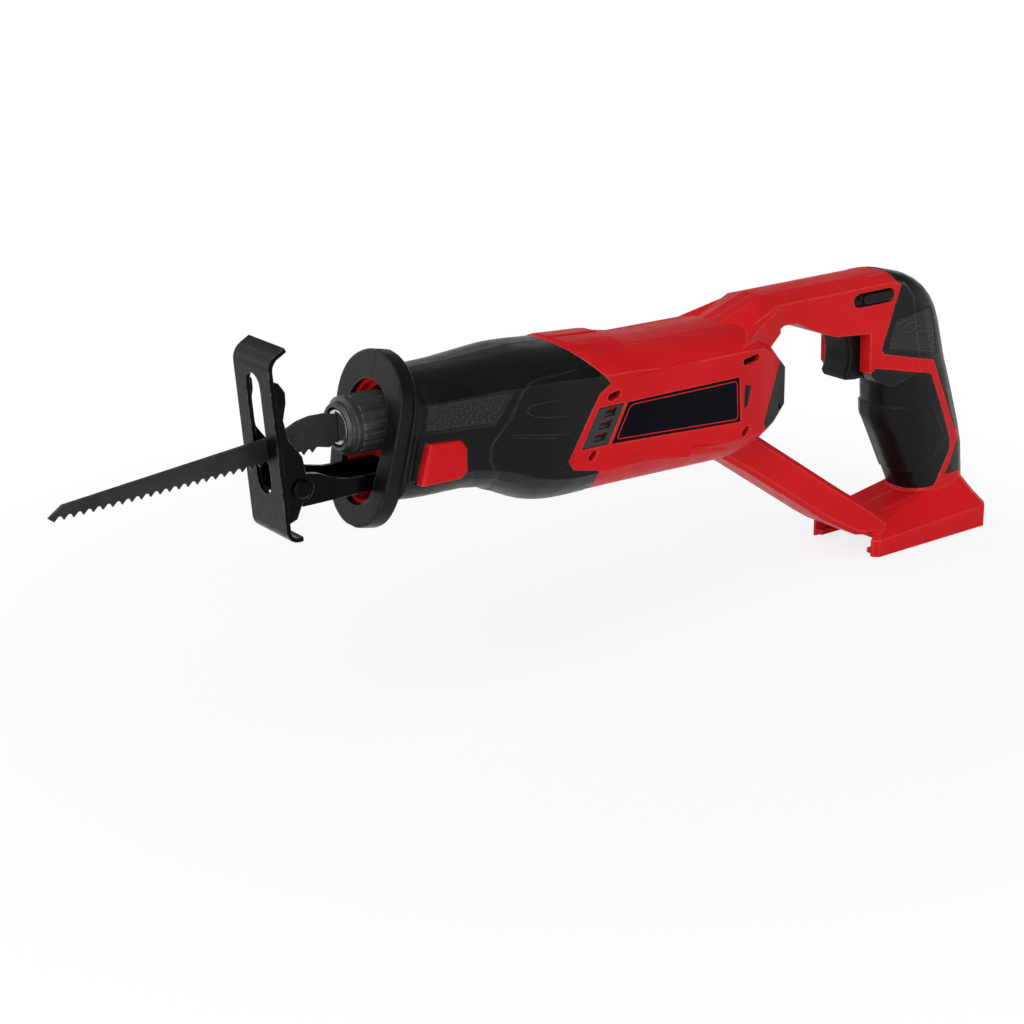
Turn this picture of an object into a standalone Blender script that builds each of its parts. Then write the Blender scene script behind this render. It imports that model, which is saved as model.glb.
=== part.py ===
"""Cordless reciprocating saw: D-handle housing, motor, crank drive, blade chuck and pivoting shoe.

Sizes below are millimetres; meshes are made in metres. The nose points to -X, the left side is -Y, and
the origin is the middle of the battery seat under the foot.
"""

import math

import bmesh
import bpy
from mathutils import Matrix, Vector

MM = 0.001
GAP = 0.3
SPLIT = 0.15
BIG = 60.0
FLAT_ANGLE = math.radians(0.6)

# Drive line
STROKE = 22.0
CRANK_R = STROKE / 2
STROKE_Z = 112.3
MOTOR_Z = 92.0
GEAR_X = -256.0
GEAR_TEETH = 25
PINION_TEETH = 5
GEAR_PITCH_R = 21.5
GEAR_R = 24.0
PINION_PITCH_R = GEAR_PITCH_R * PINION_TEETH / GEAR_TEETH
ADDENDUM = 0.9
DEDENDUM = 1.5
TOOTH_SHARE = 0.34
GEAR_FACE, GEAR_BACK = 5.0, 1.5
MESH_Z = MOTOR_Z + PINION_PITCH_R
SHAFT_R = 2.5
PLUNGER_R = 7.0
ROLLER_R = 3.5
CHUCK_FRONT_X = -345.0
CHUCK_R = 13.0

# Housing walls
COVER = 2.2
CORE_INSET = COVER + GAP
CORE_FRONT_X = -321.0
WALL = 2.4
HALF_HANDLE = 17.5

# Barrel from nose to tail: x, top, widest height, bottom, half width before flattening, side flat
BARREL = (
    (-323, 131.0, 104, 76.0, 25.2, 21.8),
    (-310, 132.2, 104, 75.2, 28.5, 24.7),
    (-291, 132.4, 104, 75.0, 30.0, 26.0),
    (-286, 132.5, 103.6, 74.5, 31.2, 26.8),
    (-279, 132.8, 103, 73.5, 33.0, 28.0),
    (-269, 133.2, 101, 69.5, 36.0, 30.3),
    (-257, 133.8, 100, 64.0, 38.0, 31.8),
    (-246, 133.4, 99, 61.6, 38.5, 32.2),
    (-236, 132.6, 98, 61.0, 38.5, 32.2),
    (-203, 130.4, 98, 60.4, 38.0, 31.8),
    (-187, 127.2, 98, 60.0, 38.0, 31.5),
    (-141, 126.6, 98, 58.8, 38.0, 31.5),
    (-128, 125.0, 97, 61.0, 36.0, 29.5),
    (-117, 119.0, 95, 66.0, 31.0, 25.5),
    (-106, 107.0, 92, 77.5, 25.0, 21.0),
)
CROWN_POWER = 2.5
KEEL_POWER = 2.1
ARC_STEPS = 5

# Side outlines, as (x, z)
NOSE_ZONE = (
    (-348, 150), (-237, 150), (-236, 133), (-221.5, 116.5), (-228, 113), (-246, 85.3), (-243, 80.6),
    (-229, 77.7), (-223.5, 50), (-348, 50),
)
ARM_LOW = (
    (-28, 77), (-40, 82), (-44.5, 87), (-45, 107.5), (-68, 109.5), (-77, 112.3), (-89, 117.3), (-95, 120.8),
    (-104, 121), (-113, 116.5), (-124, 104), (-150, 104),
)
ARM_SIDE = (
    (-150, 113.4), (-109, 131.5), (-33, 131.5), (-22, 128.8), (-16, 122), (-14, 110), (-8, 82), *ARM_LOW,
)
ARM_RIDGE = (
    (-150, 120.1), (-109, 134.7), (-27, 134.7), (-14, 130.4), (-4, 123), (4, 112), (9, 84), *ARM_LOW,
)
HANDLE_POCKET = (
    (-140, 106), (-128, 117), (-112, 128.8), (-36, 129), (-24, 126), (-12, 116), (-4, 106), (8, 80), (22, 40),
    (26, 12), (2, 12), (-6, 38), (-17, 60), (-17, 80), (-26, 83.5), (-27, 110), (-66, 115.5), (-86, 123.5),
    (-108, 124.5), (-118, 117), (-128, 104),
)
FRONT_GRIP = (
    (-41, 89), (0.8, 79), (17.5, 42), (18, 36), (11.5, 22), (9, 16.5), (-16, 14.5), (-30, 40), (-40, 62),
    (-52, 80),
)
GRIP_PAD = ((-44, 70), (-28.8, 64), (2.1, 63), (13, 42.1), (-3.5, 26.2), (-17, 26.2), (-30, 42), (-40, 62))
NOSE_PANEL = ((-313.4, 121.5), (-272.9, 121.4), (-282, 107.7), (-314.7, 109.6))
BULGE = (
    (-200, 125), (-258, 125), (-265, 123.8), (-269, 121.5), (-275.4, 109.3), (-284, 99), (-284.7, 92),
    (-280, 83), (-270, 64), (-266, 50), (-200, 50),
)
BULGE_RAISE, BULGE_FADE_X, BULGE_END_X = 0.9, -257.0, -236.0
CAP_ZONE = (
    (-109.5, 112), (-110.7, 108.4), (-126.5, 79), (-119.5, 72.7), (-116.5, 70.5), (-95, 70.5), (-95, 112),
)
BACK_GRIP = ((-31, 145), (-24.5, 131), (-37, 98), (-35, 95.5), (2.5, 86), (22.3, 44.5), (60, 44), (60, 145))
HEEL_PAD = ((24.7, 39), (15.7, 21.5), (60, 19), (60, 39.5))
LABEL = ((-211.8, 106.2), (-144.6, 105.8), (-143.4, 84), (-221.3, 88.4))
VENT = ((-228.4, 106.5), (-213.5, 106.3), (-223, 88.7), (-238.6, 89))
TRIGGER = (
    (-36.2, 106.6), (-53.4, 106.6), (-52.4, 103), (-51.0, 98), (-50.8, 93), (-51.6, 88.5), (-53.0, 85.6),
    (-52, 82.8), (-48, 82.2), (-36.2, 83.4),
)
TRIGGER_HALF = 9.6
RELEASE_BUTTON = ((-315, 105), (-299, 104), (-296, 100.6), (-296, 89.7), (-299.4, 87), (-320, 87.4))

# Handle sections: height, front, rear, half width
HANDLE = (
    (5, -2, 38, 15.0), (17, -5, 38, 15.5), (36, -14.3, 35.5, 17.0), (48, -20.5, 32.3, 17.4),
    (57, -25.5, 29.3, 17.5), (74, -26.5, 23.3, 17.0), (84, -30, 19.5, 17.0), (96, -34, 16.0, 17.2),
    (106, -36, 12.8, 17.4), (113, -38, 10.0, 17.2), (119, -39, 6.2, 16.6), (124, -40, 1.6, 15.6),
    (128, -41, -4.0, 14.2), (131.5, -42, -11.0, 12.0), (134.4, -44, -22.0, 9.0),
)
HANDLE_POWER = 2.5
HANDLE_SIDES = 18
HALF_RIDGE = 6.0
HALF_POCKET = 11.5
PAD_RAISE = 0.8
PANEL_DEPTH = 0.7

# Facets from the arm to the barrel, as x, half width, bottom and top
FLARE = ((-106, 17.3, 117.6, 131.0), (-141, 29.6, 100.0, 119.0))

# Foot, as height in front, height behind and inset, and strut, as x, z, half width and half thickness
FOOT_FRONT, FOOT_REAR, FOOT_HALF = -41.5, 43.0, 24.0
FOOT_FRONT_ROUND, FOOT_REAR_ROUND = 2.5, 4.0
FOOT_LEVELS = ((-9.8, -9.8, 0.0), (-1.1, 1.9, 0.0), (4.2, 7.7, 4.0), (9.5, 19.5, 11.0))
BAY_HALF, BAY_REAR = 20.0, 34.0
STRUT = ((-135, 70, 13.0, 9.5), (-115, 56.6, 13.0, 9.0), (-62, 20.3, 13.5, 9.0), (-46, 9.8, 20.0, 8.0),
         (-33, 4.0, 22.0, 4.0))
STRUT_SLOPE = math.radians(34.3)

# Finger guard on the nose, with its half widths from top to bottom, as (z, half width)
GUARD_X, GUARD_Z, GUARD_LEAN, GUARD_THICK = -332.0, 103.8, math.radians(12.0), 8.2
GUARD_PROFILE = (
    (143, 0.0), (142.2, 5.6), (140.4, 10.9), (137.6, 16.0), (133.4, 20.4), (127, 23.8), (119, 25.0),
    (104, 24.2), (90, 22.9), (83, 21.3), (77, 18.6), (72, 14.4), (69, 9.2), (67.4, 4.0),
)
GUARD_ROUND = 2.2
COLLAR_GROW, COLLAR_FRONT_X, COLLAR_REAR_X = 1.0, -329.0, -320.5
NECK_INSET, NECK_REAR_X = 0.05, -316.0
MOUTH_TOP_Z, MOUTH_TOP_R, MOUTH_LOW_Z, MOUTH_LOW_R = 114.4, 16.0, 89.4, 12.9

# Shoe, pivoting on its pin
PIVOT_X, PIVOT_Z = -371.3, 94.3
SHOE_TILT = math.radians(4.07)
SHOE_HALF, SHEET = 14.3, 2.0
SHOE_FACE = 9.0
LOW_LIP_R, TOP_LIP_R = 5.5, 7.5
PIN_R, PIN_HEAD_R = 2.9, 4.2

# Blade
BLADE_THICK = 1.25
TOOTH_PITCH, TOOTH_RISE, TOOTH_DEPTH, TOOTH_BELLY = 4.2, 0.188, 2.0, 0.4
TOOTH_START, TOOTH_COUNT = (-474.6, 98.53), 29

# Housing screws, as (x, z)
SCREWS = ((-200, 119.6), (-136, 117), (-141, 70), (-75, 127.5), (-40, 114.8), (6, 52), (30, 6.5))
BOSS_R, SCREW_R, SCREW_HEAD_R = 3.8, 1.4, 2.9

# Rear vent cap
LOUVRES, LOUVRE_HEIGHT = (82.0, 87.4, 92.8, 98.2), 2.4
CAP_SCREW = (-110.8, 83.6)

RED = ("red_plastic", (0.62, 0.012, 0.016), 0.38, 0.0)
BLACK_SOFT = ("black_soft", (0.016, 0.016, 0.017), 0.62, 0.0)
BLACK_HARD = ("black_hard", (0.02, 0.02, 0.022), 0.42, 0.0)
BLACK_STEEL = ("black_steel", (0.03, 0.03, 0.032), 0.4, 0.8)
STEEL = ("steel", (0.56, 0.56, 0.58), 0.3, 1.0)
ALUMINIUM = ("cast_aluminium", (0.55, 0.56, 0.57), 0.45, 1.0)
COPPER = ("copper", (0.72, 0.38, 0.2), 0.35, 1.0)
BRONZE = ("sintered_bronze", (0.5, 0.36, 0.17), 0.5, 1.0)
GREY = ("grey_plastic", (0.12, 0.12, 0.13), 0.5, 0.0)
CARBON = ("carbon", (0.05, 0.05, 0.05), 0.7, 0.0)


def start_scene():
    for obj in list(bpy.data.objects):
        bpy.data.objects.remove(obj)
    collection = bpy.data.collections.new("reciprocating_saw")
    bpy.context.scene.collection.children.link(collection)
    return collection


PARTS = start_scene()


def from_bmesh(name, bm):
    bmesh.ops.remove_doubles(bm, verts=bm.verts, dist=1e-7)
    bmesh.ops.recalc_face_normals(bm, faces=bm.faces)
    mesh = bpy.data.meshes.new(name)
    bm.to_mesh(mesh)
    bm.free()
    obj = bpy.data.objects.new(name, mesh)
    PARTS.objects.link(obj)
    return obj


def apply_modifiers(obj):
    bpy.context.view_layer.update()
    graph = bpy.context.evaluated_depsgraph_get()
    old = obj.data
    obj.data = bpy.data.meshes.new_from_object(obj.evaluated_get(graph))
    obj.modifiers.clear()
    bpy.data.meshes.remove(old)
    return obj


def is_closed(mesh):
    bm = bmesh.new()
    bm.from_mesh(mesh)
    closed = len(bm.faces) > 0 and all(len(edge.link_faces) == 2 for edge in bm.edges)
    bm.free()
    return closed


def boolean(target, others, operation):
    """Joins or cuts with the exact solver, or the manifold one where the exact one leaves a body open."""
    for other in others:
        before = target.data.copy()
        for solver in ("EXACT", "MANIFOLD"):
            modifier = target.modifiers.new(operation.title(), "BOOLEAN")
            modifier.operation = operation
            modifier.solver = solver
            modifier.object = other
            apply_modifiers(target)
            if is_closed(target.data):
                break
            target.data = before.copy()
        else:
            raise RuntimeError(f"{target.name}: no solver made a closed body with {other.name}")
        bpy.data.meshes.remove(before)
        bpy.data.objects.remove(other)
    return target


def cut(target, *others):
    return boolean(target, others, "DIFFERENCE")


def join(target, *others):
    return boolean(target, others, "UNION")


def common(target, *others):
    return boolean(target, others, "INTERSECT")


def copy_of(obj, name):
    twin = bpy.data.objects.new(name, obj.data.copy())
    PARTS.objects.link(twin)
    return twin


def loft(name, rings, cyclic=False):
    """A skin over rings of points with equal counts, capped at both ends or closed on itself."""
    bm = bmesh.new()
    rows = [[bm.verts.new(Vector(point) * MM) for point in ring] for ring in rings]
    pairs = list(zip(rows, rows[1:]))
    if cyclic:
        pairs.append((rows[-1], rows[0]))
    else:
        bm.faces.new(rows[0])
        bm.faces.new(rows[-1])
    for first, second in pairs:
        for i in range(len(first)):
            j = (i + 1) % len(first)
            bm.faces.new((first[i], first[j], second[j], second[i]))
    return from_bmesh(name, bm)


SIDE_PLANE = Matrix(((1, 0, 0, 0), (0, 0, -1, 0), (0, 1, 0, 0), (0, 0, 0, 1)))
FRONT_PLANE = Matrix(((0, 0, 1, 0), (1, 0, 0, 0), (0, 1, 0, 0), (0, 0, 0, 1)))


def extruded(name, outlines, thickness, matrix):
    """A flat outline, with any further outlines as holes, given a thickness centred on its plane.

    The curve is filled in millimetres, because the fill merges points that are very near.
    """
    curve = bpy.data.curves.new(name, "CURVE")
    curve.dimensions = "2D"
    curve.fill_mode = "BOTH"
    curve.extrude = thickness / 2
    for outline in outlines:
        spline = curve.splines.new("POLY")
        spline.points.add(len(outline) - 1)
        for point, (u, v) in zip(spline.points, outline):
            point.co = (u, v, 0, 1)
        spline.use_cyclic_u = True
    holder = bpy.data.objects.new(name + "_outline", curve)
    PARTS.objects.link(holder)
    bpy.context.view_layer.update()
    graph = bpy.context.evaluated_depsgraph_get()
    mesh = bpy.data.meshes.new_from_object(holder.evaluated_get(graph))
    mesh.transform(matrix @ Matrix.Scale(MM, 4))
    bm = bmesh.new()
    bm.from_mesh(mesh)
    bpy.data.objects.remove(holder)
    bpy.data.curves.remove(curve)
    bpy.data.meshes.remove(mesh)
    return from_bmesh(name, bm)


def side_plate(name, outline, y0, y1, holes=()):
    """An outline in X and Z, between two values of Y."""
    matrix = Matrix.Translation((0, (y0 + y1) / 2 * MM, 0)) @ SIDE_PLANE
    return extruded(name, [outline, *holes], abs(y1 - y0), matrix)


def cross_plate(name, outline, x0, x1, holes=()):
    """An outline in Y and Z, between two values of X."""
    matrix = Matrix.Translation(((x0 + x1) / 2 * MM, 0, 0)) @ FRONT_PLANE
    return extruded(name, [outline, *holes], abs(x1 - x0), matrix)


def box(name, low, high):
    bm = bmesh.new()
    size = Vector(high) - Vector(low)
    middle = (Vector(high) + Vector(low)) / 2
    bmesh.ops.create_cube(bm, size=1.0)
    bm.transform(Matrix.Translation(middle * MM) @ Matrix.Diagonal((*(size * MM), 1)))
    return from_bmesh(name, bm)


AXES = {
    "X": Matrix(((0, 0, 1, 0), (1, 0, 0, 0), (0, 1, 0, 0), (0, 0, 0, 1))),
    "Y": Matrix(((0, 1, 0, 0), (0, 0, 1, 0), (1, 0, 0, 0), (0, 0, 0, 1))),
    "Z": Matrix.Identity(4),
}


def turned(name, profile, axis, centre, steps=24):
    """A profile of (radius, distance along the axis) turned about that axis through centre."""
    bm = bmesh.new()
    points = [bm.verts.new((r * MM, 0, along * MM)) for r, along in profile]
    for first, second in zip(points, points[1:]):
        bm.edges.new((first, second))
    if profile[0][0] > 0:
        bm.edges.new((points[-1], points[0]))
    obj = from_bmesh(name, bm)
    screw = obj.modifiers.new("Turn", "SCREW")
    screw.steps = screw.render_steps = steps
    screw.use_merge_vertices = True
    screw.merge_threshold = 1e-6
    apply_modifiers(obj)
    mesh = obj.data
    mesh.transform(Matrix.Translation(Vector(centre) * MM) @ AXES[axis])
    bm = bmesh.new()
    bm.from_mesh(mesh)
    bpy.data.objects.remove(obj)
    bpy.data.meshes.remove(mesh)
    return from_bmesh(name, bm)


def rod(name, radius, low, high, axis, centre, steps=24):
    return turned(name, ((0, high), (radius, high), (radius, low), (0, low)), axis, centre, steps)


def ring(name, outer, inner, low, high, axis, centre, steps=24):
    return turned(name, ((outer, high), (outer, low), (inner, low), (inner, high)), axis, centre, steps)


def round_edges(obj, width, segments, chosen):
    """Rounds the edges that the test picks."""
    bm = bmesh.new()
    bm.from_mesh(obj.data)
    edges = [edge for edge in bm.edges if chosen(edge)]
    bmesh.ops.bevel(bm, geom=edges, offset=width * MM, segments=segments, profile=0.5, affect="EDGES",
                    clamp_overlap=True)
    bmesh.ops.remove_doubles(bm, verts=bm.verts, dist=1e-7)
    bm.to_mesh(obj.data)
    bm.free()
    return obj


def arc(centre, radius, start, end, steps):
    """Points on a circle, with angles in degrees."""
    angles = [math.radians(start + (end - start) * i / steps) for i in range(steps + 1)]
    return [(centre[0] + radius * math.cos(a), centre[1] + radius * math.sin(a)) for a in angles]


def capsule(u, v, length, height, slope=0.0, steps=4):
    """A slot with round ends, turned by a slope in degrees."""
    reach = (length - height) / 2
    points = arc((reach, 0), height / 2, -90, 90, steps) + arc((-reach, 0), height / 2, 90, 270, steps)
    c, s = math.cos(math.radians(slope)), math.sin(math.radians(slope))
    return [(u + a * c - b * s, v + a * s + b * c) for a, b in points]


def shrunk(outline, inset):
    """The outline moved inwards by an inset, with mitred corners."""
    area = sum(a[0] * b[1] - b[0] * a[1] for a, b in zip(outline, (*outline[1:], outline[0])))
    side = 1 if area > 0 else -1
    moved = []
    for i, point in enumerate(outline):
        before = Vector(point) - Vector(outline[i - 1])
        after = Vector(outline[(i + 1) % len(outline)]) - Vector(point)
        n1 = Vector((-before.y, before.x)).normalized() * side
        n2 = Vector((-after.y, after.x)).normalized() * side
        moved.append(Vector(point) + (n1 + n2) * inset / (1 + n1.dot(n2)))
    return [tuple(point) for point in moved]


def barrel_section(station, inset=0.0, floor=None):
    """A domed top, flat sides and a rounded keel, as one ring."""
    x, top, middle, low, width, flat = station
    top, low, width, flat = top - inset, low + inset, width - inset, flat - inset
    low = low if floor is None else floor
    half = []
    for height, power in ((top - middle, CROWN_POWER), (low - middle, KEEL_POWER)):
        last = math.asin((flat / width) ** (power / 2))
        angles = [last * i / ARC_STEPS for i in range(ARC_STEPS + 1)]
        half.append([(width * math.sin(a) ** (2 / power), middle + height * math.cos(a) ** (2 / power))
                     for a in angles])
    right = half[0] + half[1][::-1]
    left = [(-y, z) for y, z in right[-2:0:-1]]
    return [(x, y, z) for y, z in right + left]


def station_at(x):
    """The barrel's station at any x, between the listed ones."""
    for a, b in zip(BARREL, BARREL[1:]):
        if a[0] <= x <= b[0]:
            share = (x - a[0]) / (b[0] - a[0])
            return tuple(p + (q - p) * share for p, q in zip(a, b))
    return BARREL[0] if x < BARREL[0][0] else BARREL[-1]


def barrel(name, inset=0.0, start=BARREL[0][0], end=BARREL[-1][0], floors=None):
    """The barrel's form moved in by an inset, between two values of X."""
    middle = [station[0] for station in BARREL if start < station[0] < end]
    rings = []
    for x in (start, *middle, end):
        depth = inset(x) if callable(inset) else inset
        rings.append(barrel_section((x, *station_at(x)[1:]), depth, floors(x) if floors else None))
    return loft(name, rings)


def arm_form(name, inset=0.0):
    """Upper arm with a low ridge along its top."""
    rings = []
    for y, outline in ((-HALF_HANDLE + inset, ARM_SIDE), (-HALF_RIDGE, ARM_RIDGE), (HALF_RIDGE, ARM_RIDGE),
                       (HALF_HANDLE - inset, ARM_SIDE)):
        rings.append([(x, y, z) for x, z in shrunk(outline, inset)])
    return loft(name, rings)


def flare_form(name):
    """The slanting facets between the arm's sides and the barrel."""
    rings = []
    for x, half, low, high in FLARE:
        rings.append([(x, -half, low), (x, half, low), (x, half, high), (x, -half, high)])
    return loft(name, rings)


def handle_form(name, inset=0.0):
    """The grip and the arm above it."""
    rings = []
    for z, front, rear, half in HANDLE:
        centre, depth = (front + rear) / 2, (rear - front) / 2 - inset
        points = []
        for i in range(HANDLE_SIDES):
            a = 2 * math.pi * i / HANDLE_SIDES
            c, s = math.cos(a), math.sin(a)
            points.append((centre + depth * math.copysign(abs(c) ** (2 / HANDLE_POWER), c),
                           (half - inset) * math.copysign(abs(s) ** (2 / HANDLE_POWER), s), z))
        rings.append(points)
    return join(loft(name, rings), arm_form(name + "_arm", inset))


def foot_form(name):
    f, r = FOOT_FRONT_ROUND, FOOT_REAR_ROUND
    rings = []
    for low, high, inset in FOOT_LEVELS:
        front, rear, half = FOOT_FRONT + inset, FOOT_REAR - inset, FOOT_HALF - inset
        corners = [(front, f - half), (front + f, -half), (rear - r, -half), (rear, r - half)]
        outline = corners + [(x, -y) for x, y in corners[::-1]]
        rings.append([(x, y, low + (high - low) * (x - front) / (rear - front)) for x, y in outline])
    return loft(name, rings)


def strut_form(name):
    normal = Vector((-math.sin(STRUT_SLOPE), -math.cos(STRUT_SLOPE)))
    chamfer = 2.5
    rings = []
    for x, z, half, thick in STRUT:
        corners = ((half - chamfer, thick), (half, thick - chamfer), (half, chamfer - thick),
                   (half - chamfer, -thick))
        outline = [*corners, *[(-y, t) for y, t in corners[::-1]]]
        rings.append([(x + normal.x * t, y, z + normal.y * t) for y, t in outline])
    return loft(name, rings)


def half_space(name, side):
    low = -BIG if side < 0 else SPLIT
    high = -SPLIT if side < 0 else BIG
    return box(name, (-500, low, -50), (100, high, 200))


def halves(obj, stem):
    """Cuts a piece at the middle plane into a left and a right one."""
    made = []
    for side, word in ((-1, "left_"), (1, "right_")):
        made.append(common(copy_of(obj, word + stem), half_space("half", side)))
    bpy.data.objects.remove(obj)
    return made


def guard_outline():
    right = [(half, (z - GUARD_Z) / math.cos(GUARD_LEAN)) for z, half in GUARD_PROFILE]
    return right + [(-y, z) for y, z in right[:0:-1]]


def mouth_outline():
    """The opening in the guard: a large round end for the chuck over a smaller one for the shoe bracket."""
    reach = MOUTH_TOP_Z - MOUTH_LOW_Z
    lean = math.degrees(math.asin((MOUTH_TOP_R - MOUTH_LOW_R) / reach))
    return arc((0, MOUTH_TOP_Z), MOUTH_TOP_R, -lean, 180 + lean, 12) + arc(
        (0, MOUTH_LOW_Z), MOUTH_LOW_R, 180 + lean, 360 - lean, 10)


def leaned(obj):
    """A form sheared so that it leans with the guard."""
    for vertex in obj.data.vertices:
        vertex.co.x += (vertex.co.z - GUARD_Z * MM) * math.tan(GUARD_LEAN)
    return obj


def guard_form(name):
    """The leaning finger guard with a smaller collar behind it and a neck to the barrel."""
    lean = Matrix.Translation(Vector((GUARD_X, 0, GUARD_Z)) * MM) @ Matrix.Rotation(GUARD_LEAN, 4, "Y")
    disc = extruded(name, [guard_outline()], GUARD_THICK,
                    lean @ Matrix.Translation((GUARD_THICK / 2 * MM, 0, 0)) @ FRONT_PLANE)
    round_edges(disc, GUARD_ROUND, 2, lambda edge: edge.calc_face_angle(0) > 1.0)
    neck = [barrel_section((x, *BARREL[0][1:]), NECK_INSET) for x in (COLLAR_FRONT_X, NECK_REAR_X)]
    return join(disc, leaned(barrel(name + "_collar", -COLLAR_GROW, COLLAR_FRONT_X, COLLAR_REAR_X)),
                leaned(loft(name + "_neck", neck)))


def bulge_inset(x):
    """The raise of the cover's bulge, which runs out towards the red shell."""
    share = (x - BULGE_END_X) / (BULGE_FADE_X - BULGE_END_X)
    return -BULGE_RAISE * min(1.0, max(0.02, share))


def bulge_floor(x):
    return station_at(x)[3] - GAP


def make_nose_cover():
    cover = common(barrel("nose_cover"), side_plate("zone", shrunk(NOSE_ZONE, GAP / 2), -BIG, BIG))
    bulge = common(barrel("bulge", bulge_inset, floors=bulge_floor),
                   side_plate("bulge_zone", BULGE, -BIG, BIG),
                   side_plate("zone", shrunk(NOSE_ZONE, GAP / 2), -BIG, BIG))
    join(cover, bulge, guard_form("guard"))
    cut(cover, cut(side_plate("panel", NOSE_PANEL, -BIG, BIG), barrel("panel_core", PANEL_DEPTH)),
        barrel("core", COVER, CORE_FRONT_X - GAP, -200),
        cross_plate("mouth", mouth_outline(), -360, CORE_FRONT_X + GAP))
    left, right = halves(cover, "nose_cover")
    cut(left, side_plate("window", shrunk(RELEASE_BUTTON, -GAP), -BIG, -15))
    return left, right


def make_grips():
    for stem, zone in (("front_grip", FRONT_GRIP), ("back_grip", BACK_GRIP), ("heel_pad", HEEL_PAD)):
        grip = common(handle_form(stem), side_plate("zone", shrunk(zone, GAP), -BIG, BIG))
        if stem == "front_grip":
            join(grip, common(handle_form("pad", -PAD_RAISE), side_plate("pad_zone", GRIP_PAD, -BIG, BIG)))
        cut(grip, handle_form("core", COVER), trigger_way())
        _, right = halves(grip, stem)
        for x, z in SCREWS[5:6] if stem == "front_grip" else ():
            cut(right, rod("head_way", SCREW_HEAD_R + GAP, 0, BIG, "Y", (x, 0, z), 8))


def trigger_way():
    """The room that the trigger moves in."""
    return box("trigger_way", (-75, -10.2, 81.6), (-20, 10.2, 107.3))


def cavity_inset(x):
    return CORE_INSET + WALL if x < -232 else WALL + GAP


def nose_floor(x):
    return 98.0 if x < -287 else None


def make_housing():
    """Both clamshell halves, hollow round the motor and in the handle."""
    shell = cut(barrel("housing"), side_plate("zone", NOSE_ZONE, -BIG, BIG))
    cut(shell, side_plate("cap_zone", CAP_ZONE, -BIG, BIG))
    join(shell, barrel("core", CORE_INSET, CORE_FRONT_X, -205), handle_form("handle"), flare_form("flare"),
         strut_form("strut"), foot_form("foot"))
    for zone in (FRONT_GRIP, BACK_GRIP, HEEL_PAD):
        cut(shell, cut(side_plate("pocket", zone, -BIG, BIG), handle_form("grip_core", CORE_INSET)))
    cut(shell, barrel("cavity", cavity_inset, -313.5, -126, nose_floor))
    cut(shell, side_plate("handle_pocket", HANDLE_POCKET, -HALF_POCKET, HALF_POCKET))
    for x in (-212, -176):
        rib = common(barrel("rib", 1.0, x, x + 3), box("slab", (x - 1, -BIG, 50), (x + 4, BIG, 150)))
        join(shell, cut(rib, rod("bore", 23 + GAP, -230, -150, "X", (0, 0, MOTOR_Z), 16)))
    for x, z in SCREWS:
        boss = rod("boss", BOSS_R, -screw_boss(x), screw_boss(x), "Y", (x, 0, z), 8)
        join(shell, common(boss, barrel("skin", 1.0)) if x < -100 else boss)
    cut(
        shell,
        rod("chuck_way", 14.2, -330, -312, "X", (0, 0, STROKE_Z), 24),
        box("bracket_way", (-330, -12.1, 84.9), (-287, 12.1, 93.4)),
        trigger_way(),
        side_plate("lock_way", capsule(-43.7, 125.4, 28.6, 7.2), -BIG, BIG),
        box("battery_bay", (-70, -BAY_HALF, -30), (BAY_REAR, BAY_HALF, 0)),
        box("terminal_way", (-12.4, -12.4, -5), (22.4, 12.4, 11.5)),
        box("air_way", (-130, -14, 82), (-108, 14, 102)),
    )
    for side in (-1, 1):
        low, high = sorted((side * 16.5, side * 21.0))
        join(shell, box("rail", (FOOT_FRONT + 1, low, -8.8), (BAY_REAR + 1, high, -6.2)))
    for side in (-1, 1):
        for x, z, length, slope in ((-219.6, 110.6, 8, 14), (-232, 85.2, 6, 40), (-136.8, 112.7, 12, 4),
                                    (-140, 78.6, 6, 40)):
            cut(shell, side_plate("slot", capsule(x, z, length, 3.4, slope), side * 26, side * BIG))
        cut(shell, side_plate("vent_way", VENT, side * 29.6, side * BIG))
    left, right = halves(shell, "housing")
    cut(left, side_plate("label_way", LABEL, -BIG, -30.3))
    cut(left, side_plate("button_way", shrunk(RELEASE_BUTTON, -GAP), -BIG, -15.5))
    for x, z in SCREWS:
        y = 17.5 if x > -100 else 29.0
        cut(right, rod("head_way", SCREW_HEAD_R + GAP, screw_seat(x), BIG, "Y", (x, 0, z), 8),
            rod("shank_way", SCREW_R + GAP, -1, y, "Y", (x, 0, z), 6))
        cut(left, rod("thread_way", SCREW_R + GAP, -8.5, 1, "Y", (x, 0, z), 6))
    return left, right


def screw_boss(x):
    """How far out a screw boss reaches, to the skin of the barrel or the wall of the handle."""
    return 13.0 if x > -100 else 31.0


def screw_seat(x):
    """How far out a screw's head sits."""
    return 9.5 if x > -100 else 10.5


def make_screws():
    for i, (x, z) in enumerate(SCREWS):
        seat = screw_seat(x)
        profile = ((0, seat + 2.4), (1.3, seat + 2.4), (SCREW_HEAD_R, seat + 1.4), (SCREW_HEAD_R, seat + GAP),
                   (SCREW_R, seat + GAP), (SCREW_R, -7.5), (0, -8.2))
        turned(f"housing_screw_{i + 1}", profile, "Y", (x, 0, z), 8)


def make_rear_cap():
    """The vent cap on the tail of the barrel, behind a slanting joint."""
    cap = common(barrel("rear_vent_cap", 0.0, -129), side_plate("zone", shrunk(CAP_ZONE, GAP), -BIG, BIG))
    cut(cap, barrel("hollow", COVER, -130, -108))
    for z in LOUVRES:
        cut(cap, box("louvre", (-109, -13, z), (-100, 13, z + LOUVRE_HEIGHT)))
    x, z = CAP_SCREW
    for side in (-1, 1):
        low, high = sorted((side * 15, side * BIG))
        cut(cap, rod("screw_hole", SCREW_R, low, high, "Y", (x, 0, z), 8))
    return cap


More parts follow.
